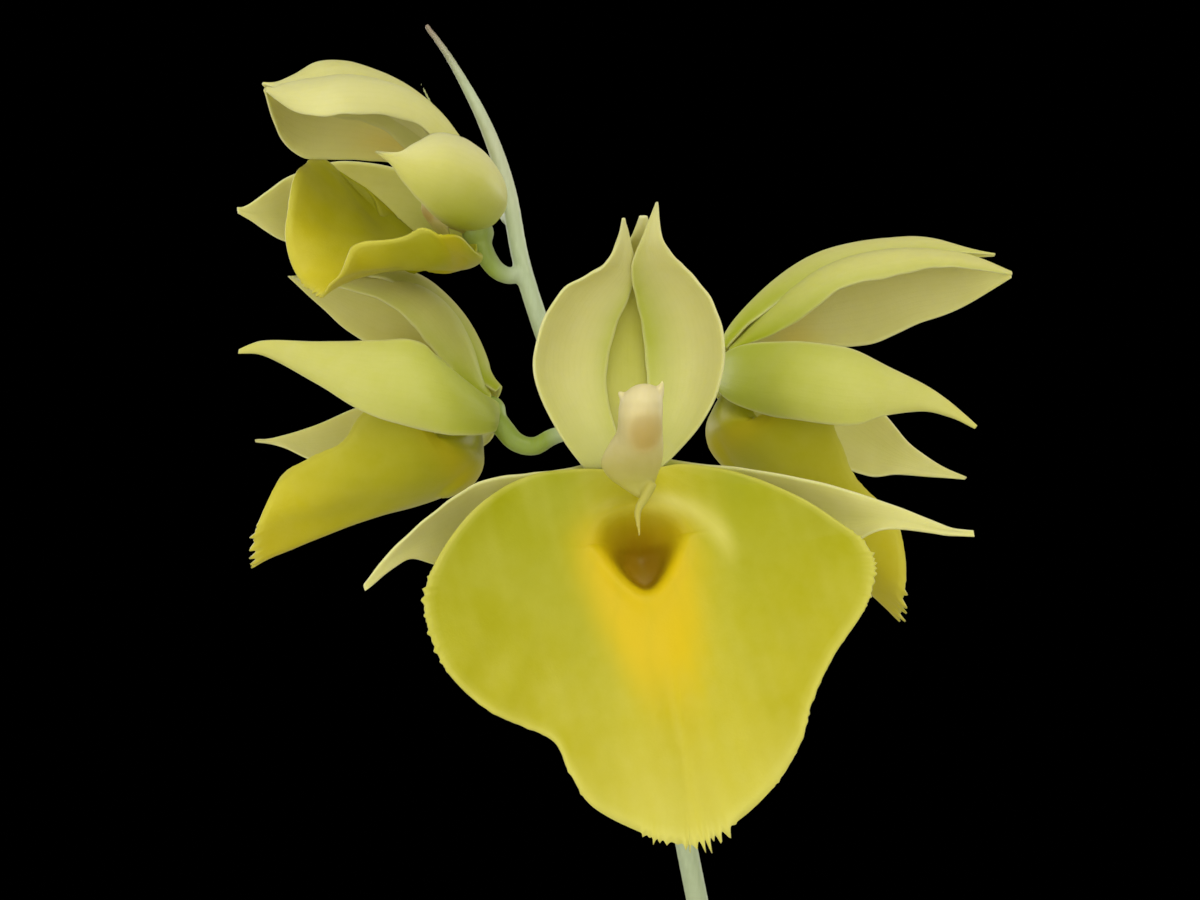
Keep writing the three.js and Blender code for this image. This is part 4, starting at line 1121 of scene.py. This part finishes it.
# The spike: stem, pedicels, bracts and the stalk of one bud that came to nothing, fused into one.
SPIKE_PATH = [
    (-7, -8, 76), (-9, -9, 100), (-17, -11, 140), (-30, -12, 200), (-43, -13, 255), (-52, -17, 300),
    (-60, -28, 338), (-69.5, -36.5, 371), (-76, -40, 390), (-81, -42, 403.5), (-85, -43.5, 416.5),
    (-87.6, -45.5, 430), (-91.8, -47, 442), (-98, -48.6, 453.5), (-103, -49.5, 460.5),
]
SPIKE_RADIUS = [3.1, 3, 2.8, 2.6, 2.4, 2.3, 2.25, 2.2, 2.15, 2.1, 2, 1.85, 1.75, 1.5, 0.6]
BUD_STALK = [(-87.5, -43.5, 424), (-92, -38, 432), (-98, -35, 440), (-105.4, -34, 454.5)]
# Small dry bracts along the stem: each one's place and the way it turns.
SCALE_LEAVES = [(-13.2, -10.1, 122, 60), (-27.5, -11.8, 190, 200), (-45.5, -14, 268, 340)]
BRACT_SPINE = [(0, 0, -1), (0.8, 0, 1.5), (2.4, 0, 4), (2.6, 0, 7)]
PEDICEL_RADIUS = [1.45, 1.65, 1.8, 2, 2.1]
LOWEST_FLOWER = 350
SPIKE_VOXEL = 0.45


def bract(at, turn, size=1.0):
    points, blocks, _, _ = blade(
        BRACT_SPINE, 2.4, 0.9, (1, 0.9, 0.6, 0.1), focus=(-60, 0, 15), rows=16, columns=14, half=0.4,
    )
    angle = math.radians(turn)
    rotation = np.array([
        (math.cos(angle), -math.sin(angle), 0), (math.sin(angle), math.cos(angle), 0), (0, 0, 1),
    ])
    return points * size @ rotation.T + np.array(at), blocks


def spike():
    parts = [
        tube_points(SPIKE_PATH, SPIKE_RADIUS, 24, 260),
        tube_points(BUD_STALK, [1.1, 0.9, 0.7, 0.3], 14, 40),
    ]
    for data in FLOWERS.values():
        parts.append(tube_points([*data["pedicel"], data["at"]], PEDICEL_RADIUS, 18, 48))
        parts.append(ball(data["at"], (3.1, 3.1, 3.1)))
        parts.append(bract(data["pedicel"][0], data["azimuth"] - 90))
    for *at, turn in SCALE_LEAVES:
        parts.append(bract(at, turn, 1.5))
        parts.append(ball(at, (3.1, 3.1, 1.6)))
    thing = fused("flower_spike_skin", parts, spike_look, SPIKE_VOXEL, 7)
    co = positions(thing.data)
    path = np.array(SPIKE_PATH, float)
    stem = np.stack([np.interp(co[:, 2], path[:, 2], path[:, k]) for k in (0, 1)], -1)
    away = np.linalg.norm(co[:, :2] - stem, axis=1)
    green = faded_in(away, 3, 4) * (co[:, 2] > LOWEST_FLOWER) + 0.5 * bell(co[:, 2], 90, 90)
    tip = faded_in(co[:, 2], 448, 12)
    wash = np.stack([green * (1 - tip), 0.75 * tip, 0.3 * bell(co[:, 2], 436, 12)], -1).clip(0, 1)
    store(thing.data, {"wash": wash})
    dress(thing, "spike", "flower_spike")


spike()


# Pot, bark, pseudobulbs and leaves.
POT = {"height": 106, "base": 41, "top": 57, "wall": 4, "rim_height": 20, "rim_depth": 4.5}
DRAIN = {"count": 4, "radius": 4, "distance": 24, "low": -6, "high": 12}
MEDIUM = {"top": 90, "crown": 5, "gap": 0.35}
CHIP_COUNT = 230
MOSS_CUSHIONS, MOSS_SHOOTS = 26, 70
MOSS_FACES = np.array([(0, 2, 1), (0, 1, 3), (1, 2, 3), (2, 0, 3)])
STEM_AT, STEM_CLEARANCE = (-8, -8.5), 3.4
BULB_FOOT = 78
BULBS = {
    "pseudobulb_lead": {"at": (6, 4), "height": 137, "radius": 14, "lean": 2, "age": 0.0},
    "pseudobulb_back_1": {"at": (35, 12), "height": 104, "radius": 12, "lean": 3, "age": 0.35},
    "pseudobulb_back_2": {"at": (-20, 31), "height": 78, "radius": 11.5, "lean": 3, "age": 0.9},
    "pseudobulb_back_3": {"at": (11, 35), "height": 90, "radius": 11, "lean": -2, "age": 0.65},
}
BULB_SHAPE = (0.42, 0.62, 0.84, 0.98, 1, 0.94, 0.8, 0.6, 0.4, 0.2)
BULB_NODES = 7
RING_RAISE = 0.5
HUSK_COUNT, HUSK_HALF = 4, 0.12
CORNER_STEPS = 5


def inner_radius(z):
    share = (z - POT["wall"]) / (POT["height"] - POT["wall"])
    return POT["base"] - POT["wall"] + share * (POT["top"] - POT["base"])


def rounded(corners, radius):
    """A profile with its inner corners rounded off."""
    corners = np.array(corners, float)
    points = [corners[0]]
    for before, corner, after in zip(corners, corners[1:], corners[2:]):
        reach = min(radius, 0.45 * np.linalg.norm(before - corner), 0.45 * np.linalg.norm(after - corner))
        first = corner + unit(before - corner) * reach
        last = corner + unit(after - corner) * reach
        for s in np.linspace(0, 1, CORNER_STEPS):
            points.append((1 - s) ** 2 * first + 2 * s * (1 - s) * corner + s ** 2 * last)
    return [*points, corners[-1]]


def filled(profile, step):
    """A profile with more points on its long straight stretches."""
    points = [profile[0]]
    for a, b in zip(profile, profile[1:]):
        count = max(1, int(np.linalg.norm(np.subtract(b, a)) / step))
        points += [np.array(a) + (np.array(b) - a) * k / count for k in range(1, count + 1)]
    return np.array(points)


def pot():
    height, base, top, wall = POT["height"], POT["base"], POT["top"], POT["wall"]
    shoulder = height - POT["rim_height"]
    outer = base + (top - base) * shoulder / height
    corners = [
        (0, 0), (base, 0), (outer, shoulder), (outer + POT["rim_depth"] - 0.4, shoulder + 0.6),
        (top + POT["rim_depth"], height), (inner_radius(height), height), (inner_radius(wall), wall),
        (0, wall),
    ]
    points, blocks = turned(filled(rounded(corners, 1.6), 2.0), 144)
    radius = np.hypot(points[:, 0], points[:, 1])
    angle = np.arctan2(points[:, 1], points[:, 0])
    outside = radius > inner_radius(points[:, 2]) + 2
    z = points[:, 2]
    rings = 0.16 * np.sin(z * 1.15 + 0.8 * np.sin(angle)) + 0.14 * ripple(3 * angle, z / 9, 3)
    swell = np.where((radius > 20) & (z > 2), rings * np.where(outside, 1, -1), 0) - 0.15 * (radius > 30)
    points[:, :2] *= (1 + swell / np.maximum(radius, 1))[:, None]
    fields = np.stack([angle / math.tau, np.where(outside, 1.0, 0.3), z / height], -1)
    thing = make("pot_clay", points, blocks, clay_look, {"form": fields})
    low, high, radius = DRAIN["low"], DRAIN["high"], DRAIN["radius"]
    drill, drill_blocks = turned([(0, low), (radius, low), (radius, high), (0, high)], 32)
    cutters = []
    for k in range(DRAIN["count"]):
        turn = math.tau * (k + 0.5) / DRAIN["count"]
        shift = DRAIN["distance"] * np.array([math.cos(turn), math.sin(turn), 0])
        cutters.append((drill + shift, drill_blocks))
    cutter = make("drain_cutter", *merged(*cutters), clay_look)
    modified(thing, ("BOOLEAN", {"operation": "DIFFERENCE", "solver": "EXACT", "object": cutter}))
    bpy.data.objects.remove(cutter)
    dress(thing, "clay", "pot")


def chip(draw, size):
    """One angular chip of bark: a subdivided block with softened corners and a rough skin."""
    steps = 4
    faces, points = [], {}
    for axis in range(3):
        for sign in (-1, 1):
            for i in range(steps):
                for j in range(steps):
                    face = []
                    for di, dj in ((0, 0), (1, 0), (1, 1), (0, 1)):
                        key = [0, 0, 0]
                        key[axis] = sign * steps
                        key[(axis + 1) % 3] = 2 * (i + di) - steps
                        key[(axis + 2) % 3] = 2 * (j + dj) - steps
                        face.append(points.setdefault(tuple(key), len(points)))
                    faces.append(face if sign > 0 else face[::-1])
    grid = np.array(list(points), float) / steps
    soft = grid / np.maximum(np.linalg.norm(grid, axis=1, keepdims=True), 1) ** 0.35
    rough = draw.normal(0, 0.07, grid.shape)
    waves = 0.12 * np.sin(5 * grid[:, [1, 2, 0]] + draw.uniform(0, math.tau, 3))
    return (soft + (rough + waves)) * np.array(size) / 2, np.array(faces)


def turn_matrix(draw, tilt):
    x, y, z = draw.normal(0, tilt), draw.normal(0, tilt), draw.uniform(0, math.tau)
    return np.array(Matrix.Rotation(z, 3, "Z") @ Matrix.Rotation(y, 3, "Y") @ Matrix.Rotation(x, 3, "X"))


def keep_clear(x, y, size):
    """False where something of that size would sit in a pseudobulb or the stem."""
    for bulb in BULBS.values():
        if math.hypot(x - bulb["at"][0], y - bulb["at"][1]) < 0.66 * bulb["radius"] + 0.35 * size:
            return False
    return math.hypot(x - STEM_AT[0], y - STEM_AT[1]) > STEM_CLEARANCE + 0.35 * size


def bark():
    draw = np.random.default_rng(11)
    top, crown, gap = MEDIUM["top"], MEDIUM["crown"], MEDIUM["gap"]
    foot = POT["wall"] + gap
    rim = inner_radius(top) - gap
    profile = [(0, foot), (inner_radius(foot) - gap, foot), (rim, top - 3), (30, top + 2.2), (0, top + 3)]
    bed, bed_blocks = turned(filled(profile, 2.5), 72)
    on_top = bed[:, 2] > top - 4
    bed[on_top, 2] += 0.9 * ripple(bed[on_top, 0] * 0.9, bed[on_top, 1] * 0.9, 5)
    parts = [(bed, bed_blocks)]
    tones = [np.tile([0.7, 0.0, 0.0], (len(bed), 1))]
    while len(parts) <= CHIP_COUNT:
        angle, share = draw.uniform(0, math.tau), draw.uniform(0, 1) ** 0.5
        size = (draw.uniform(8, 15), draw.uniform(6, 10), draw.uniform(3, 6))
        distance = share * (rim - 5.5)
        x, y = distance * math.cos(angle), distance * math.sin(angle)
        if not keep_clear(x, y, size[0]):
            continue
        points, faces = chip(draw, size)
        points = points @ turn_matrix(draw, 0.38).T
        z = top + crown * (1 - distance / 60) * 0.9 - 1.0 + draw.uniform(-1.6, 0.9)
        points += (x, y, z)
        reach = np.hypot(points[:, 0], points[:, 1])
        limit = inner_radius(np.clip(points[:, 2], foot, 104)) - gap
        points[:, :2] *= np.minimum(1, limit / np.maximum(reach, 1))[:, None]
        points[:, 2] = np.minimum(points[:, 2], top + crown + 3.2)
        parts.append((points, [faces]))
        tones.append(np.tile([draw.uniform(0, 0.7) ** 2, draw.uniform(0, 0.8) ** 2, 0], (len(points), 1)))
    points, blocks = merged(*parts)
    thing = make("bark_chips", points, blocks, bark_look, {"form": np.concatenate(tones)})
    dress(thing, "bark", "bark_medium")


def moss():
    """Low cushions of moss in the gaps between the chips, each shoot a thin three-sided spike."""
    draw = np.random.default_rng(23)
    parts, fields = [], []
    for _ in range(MOSS_CUSHIONS):
        angle, distance = draw.uniform(0, math.tau), draw.uniform(14, 44)
        x, y = distance * math.cos(angle), distance * math.sin(angle)
        if not keep_clear(x, y, 5):
            continue
        z = MEDIUM["top"] + MEDIUM["crown"] * (1 - distance / 60) - 0.6
        for _ in range(MOSS_SHOOTS):
            lean = draw.normal(0, 2.6, 2)
            root = np.array([x + lean[0], y + lean[1], z])
            aside = [0.45 * lean[0] + draw.normal(0, 0.5), 0.45 * lean[1] + draw.normal(0, 0.5)]
            tip = root + (*aside, draw.uniform(1.6, 3.4))
            turns = draw.uniform(0, math.tau) + np.arange(3) * math.tau / 3
            corners = [root + 0.28 * np.array([math.cos(turn), math.sin(turn), 0]) for turn in turns]
            parts.append((np.array([*corners, tip]), [MOSS_FACES]))
            fields.append(np.array([[0, 0, 0]] * 3 + [[draw.uniform(0.6, 1), 0, 0]]))
    points, blocks = merged(*parts)
    dress(make("moss_tufts", points, blocks, moss_look, {"form": np.concatenate(fields)}), "bark")


def bulb_radius(bulb, t):
    return bulb["radius"] * smooth(BULB_SHAPE, t)


def bulb_matrix(bulb):
    turn = Matrix.Rotation(math.radians(bulb["lean"]), 4, "Y")
    return Matrix.Translation(Vector((*bulb["at"], BULB_FOOT)) * MM) @ turn


def node_rings(share, width):
    """1 at each joint of a pseudobulb, falling off within a share of the distance between two."""
    place = (share * BULB_NODES) % 1
    return bell(np.minimum(place, 1 - place), 0, width)


def pseudobulb(name, bulb, seed):
    t = np.linspace(0, 1, 111)
    ring = RING_RAISE * node_rings(t, 0.07) * (t > 0.05) * (t < 0.97)
    wall = np.stack([bulb_radius(bulb, t) + ring, t * bulb["height"]], -1)
    points, blocks = turned([(0, 0), *wall, (0, bulb["height"] + 2)], 64)
    angle = np.arctan2(points[:, 1], points[:, 0])
    radius = np.hypot(points[:, 0], points[:, 1])
    height = points[:, 2] / bulb["height"]
    wrinkle = (0.15 + 0.75 * bulb["age"]) * np.abs(np.sin(6.5 * angle + 0.7 * np.sin(5 * height + seed))) ** 2
    wrinkle = wrinkle * np.sin(math.pi * np.clip(height, 0, 1)) + 0.12 * ripple(2 * angle, 9 * height, seed)
    points[:, :2] *= (1 - np.where(radius > 1, wrinkle, 0) / np.maximum(radius, 1))[:, None]
    scar = 0.75 * node_rings(height, 0.05)
    fields = np.stack([np.full_like(height, bulb["age"] * 0.6), scar, height], -1)
    thing = make(f"{name}_skin", points, blocks, bulb_look, {"form": fields}, bulb_matrix(bulb))
    dress(thing, "pseudobulb", name)


def husks(name, bulb, seed):
    """Papery leaf bases that still wrap parts of a pseudobulb, each torn along its top."""
    draw = np.random.default_rng(seed)
    s = np.linspace(0, 1, 23)[:, None]
    q = np.linspace(-1, 1, 61)
    parts = []
    for k in range(HUSK_COUNT):
        low = 0.13 + 0.135 * k
        high = low + draw.uniform(0.15, 0.26)
        centre, spread = draw.uniform(0, math.tau), draw.uniform(1.2, 2.6)
        torn = high + 0.03 * ripple(9 * q, 0 * q, seed + k) + 0.015 * np.abs(np.sin(23 * q + seed))
        t = low + (torn - low) * s
        angle = centre + spread * q * (1 - 0.35 * s ** 2)
        away = 0.85 + 0.35 * k / 3 + 1.1 * s ** 3 + 0.35 * np.abs(q) ** 4 + 0.12 * ripple(7 * q, 9 * s, seed)
        radius = bulb_radius(bulb, t) + away
        points = np.stack([radius * np.cos(angle), radius * np.sin(angle), t * bulb["height"]], -1)
        parts.append(sheet(points, np.full(points.shape[:2], HUSK_HALF)))
    points, blocks = merged(*parts)
    dress(make(f"{name}_husks", points, blocks, husk_look, None, bulb_matrix(bulb)), "pseudobulb")


LEAVES = [
    {"foot": 150, "angle": 158, "reach": 128, "rise": 74, "drop": 62, "width": 17},
    {"foot": 163, "angle": -24, "reach": 150, "rise": 92, "drop": 78, "width": 19},
    {"foot": 176, "angle": 172, "reach": 152, "rise": 82, "drop": 70, "width": 20},
    {"foot": 187, "angle": -8, "reach": 158, "rise": 88, "drop": 58, "width": 20},
    {"foot": 197, "angle": 134, "reach": 136, "rise": 76, "drop": 50, "width": 18},
    {"foot": 204, "angle": 22, "reach": 118, "rise": 78, "drop": 22, "width": 16},
]
LEAF_SHAPE = (0.2, 0.42, 0.8, 1, 0.96, 0.72, 0.38, 0.02)
PLEATS = {"count": 4, "height": 1.3}
LEAF_HALF = 0.42
LEAF_CLEARANCE = 0.5


def leaf(number, data):
    lead = BULBS["pseudobulb_lead"]
    share = (data["foot"] - BULB_FOOT) / lead["height"]
    offset = float(bulb_radius(lead, np.array(share))) + RING_RAISE + MEDIUM["gap"] + LEAF_CLEARANCE
    shift = math.sin(math.radians(lead["lean"])) * (data["foot"] - BULB_FOOT)
    foot, reach, rise = data["foot"], data["reach"], data["rise"]
    spine = [
        (offset, 0, foot), (offset + 0.12 * reach, 0, foot + 0.75 * rise),
        (offset + 0.62 * reach, 0, foot + 1.25 * rise), (offset + reach, 0, foot + rise - data["drop"]),
    ]

    def lift(t, q):
        pleat = PLEATS["height"] * np.minimum(1, 4 * t) * (1 - t)
        folds = pleat * (1 - 2 * np.abs((PLEATS["count"] * q / 2) % 1 - 0.5) * 2) * 0.9
        edge = 0.8 * np.abs(q) ** 4 * np.sin(9 * t + 2 * np.sign(q) + number) * np.minimum(1, 4 * t)
        return folds + edge

    points, blocks, t, q = blade(
        spine, data["width"], 0.35, LEAF_SHAPE, focus=(-200, 0, 900),
        rows=96, columns=48, half=LEAF_HALF, lift=lift,
    )
    angle = math.radians(data["angle"])
    at = Vector((lead["at"][0] + shift, lead["at"][1], 0)) * MM
    matrix = Matrix.Translation(at) @ Matrix.Rotation(angle, 4, "Z")
    thing = make(f"leaf_{number}_blade", points, blocks, leaf_look, {"form": two_faced(t, q, len(t))}, matrix)
    dress(thing, "leaf", f"leaf_{number}")


pot()
bark()
moss()
for seed, (bulb_name, bulb_data) in enumerate(BULBS.items(), 1):
    pseudobulb(bulb_name, bulb_data, seed)
    husks(bulb_name, bulb_data, 40 + seed)
for leaf_number, leaf_data in enumerate(LEAVES, 1):
    leaf(leaf_number, leaf_data)


# Stage: a pale round floor, a dark surround that only the camera sees, soft lamps and the camera.
FLOOR_RADIUS, FLOOR_TOP, FLOOR_FOOT = 650, -0.2, -3
FILL_COLOUR, FILL_STRENGTH = (1.0, 0.99, 0.96, 1), 0.34


def stage():
    profile = [(0, FLOOR_FOOT), (FLOOR_RADIUS, FLOOR_FOOT), (FLOOR_RADIUS, FLOOR_TOP), (0, FLOOR_TOP)]
    points, blocks = turned(profile, 128)
    look, tree, shader = new_look("pale_floor", {"Roughness": 0.7, "Specular IOR Level": 0.2})
    painted(tree, shader, ramp(tree, noise(tree, 6, 3), (0.3, "#d8d6d0"), (0.7, "#e2e0da")))
    make("pale_floor", points, blocks, look)
    world = bpy.data.worlds.new("studio")
    bpy.context.scene.world = world
    world.use_nodes = True
    tree = world.node_tree
    output = next(n for n in tree.nodes if n.type == "OUTPUT_WORLD")
    fill = next(n for n in tree.nodes if n.type == "BACKGROUND")
    fill.inputs["Color"].default_value = FILL_COLOUR
    fill.inputs["Strength"].default_value = FILL_STRENGTH
    dark = add(tree, "Background", {"Color": (0.0, 0.0, 0.0, 1), "Strength": 1.0})
    path = add(tree, "LightPath")
    either = add(tree, "MixShader", {
        0: path.outputs["Is Camera Ray"], 1: fill.outputs[0], 2: dark.outputs[0],
    })
    tree.links.new(either.outputs[0], output.inputs["Surface"])


def lamp(name, at, target, size, power, tint):
    data = bpy.data.lights.new(name, "AREA")
    data.shape = "DISK"
    data.size = size
    data.energy = power
    data.color = tint
    thing = bpy.data.objects.new(name, data)
    thing.location = at
    thing.rotation_euler = (Vector(target) - Vector(at)).to_track_quat("-Z", "Y").to_euler()
    bpy.context.scene.collection.objects.link(thing)


FLOWERS_CENTRE = (-0.07, -0.05, 0.39)
LAMPS = {
    "key": ((-0.1, -0.95, 1.15), FLOWERS_CENTRE, 0.8, 5.8, (1.0, 0.99, 0.95)),
    "front": ((0.2, -1.1, 0.4), FLOWERS_CENTRE, 0.9, 4.4, (1.0, 1.0, 0.97)),
    "low_left": ((-0.7, -0.8, 0.1), FLOWERS_CENTRE, 0.8, 2.8, (1.0, 1.0, 0.97)),
    "back_left": ((-0.8, 0.6, 0.7), FLOWERS_CENTRE, 0.6, 3.5, (1.0, 1.0, 0.98)),
    "back_right": ((0.8, 0.5, 0.6), (0.0, 0.0, 0.2), 0.6, 3.5, (1.0, 1.0, 0.98)),
}
CAMERA_AT = (-0.070, -0.3771, 0.3332)
CAMERA_PITCH = 8
CAMERA_LENS, CAMERA_SENSOR, CAMERA_NEAR = 54.2, 36, 0.01

stage()
for lamp_name, settings in LAMPS.items():
    lamp(lamp_name, *settings)

bpy.context.scene.view_settings.view_transform = "Standard"
camera_data = bpy.data.cameras.new("camera")
camera_data.lens = CAMERA_LENS
camera_data.sensor_width = CAMERA_SENSOR
camera_data.clip_start = CAMERA_NEAR
camera = bpy.data.objects.new("camera", camera_data)
camera.location = CAMERA_AT
camera.rotation_euler = (math.radians(90 + CAMERA_PITCH), 0, 0)
bpy.context.scene.collection.objects.link(camera)
bpy.context.scene.camera = camera
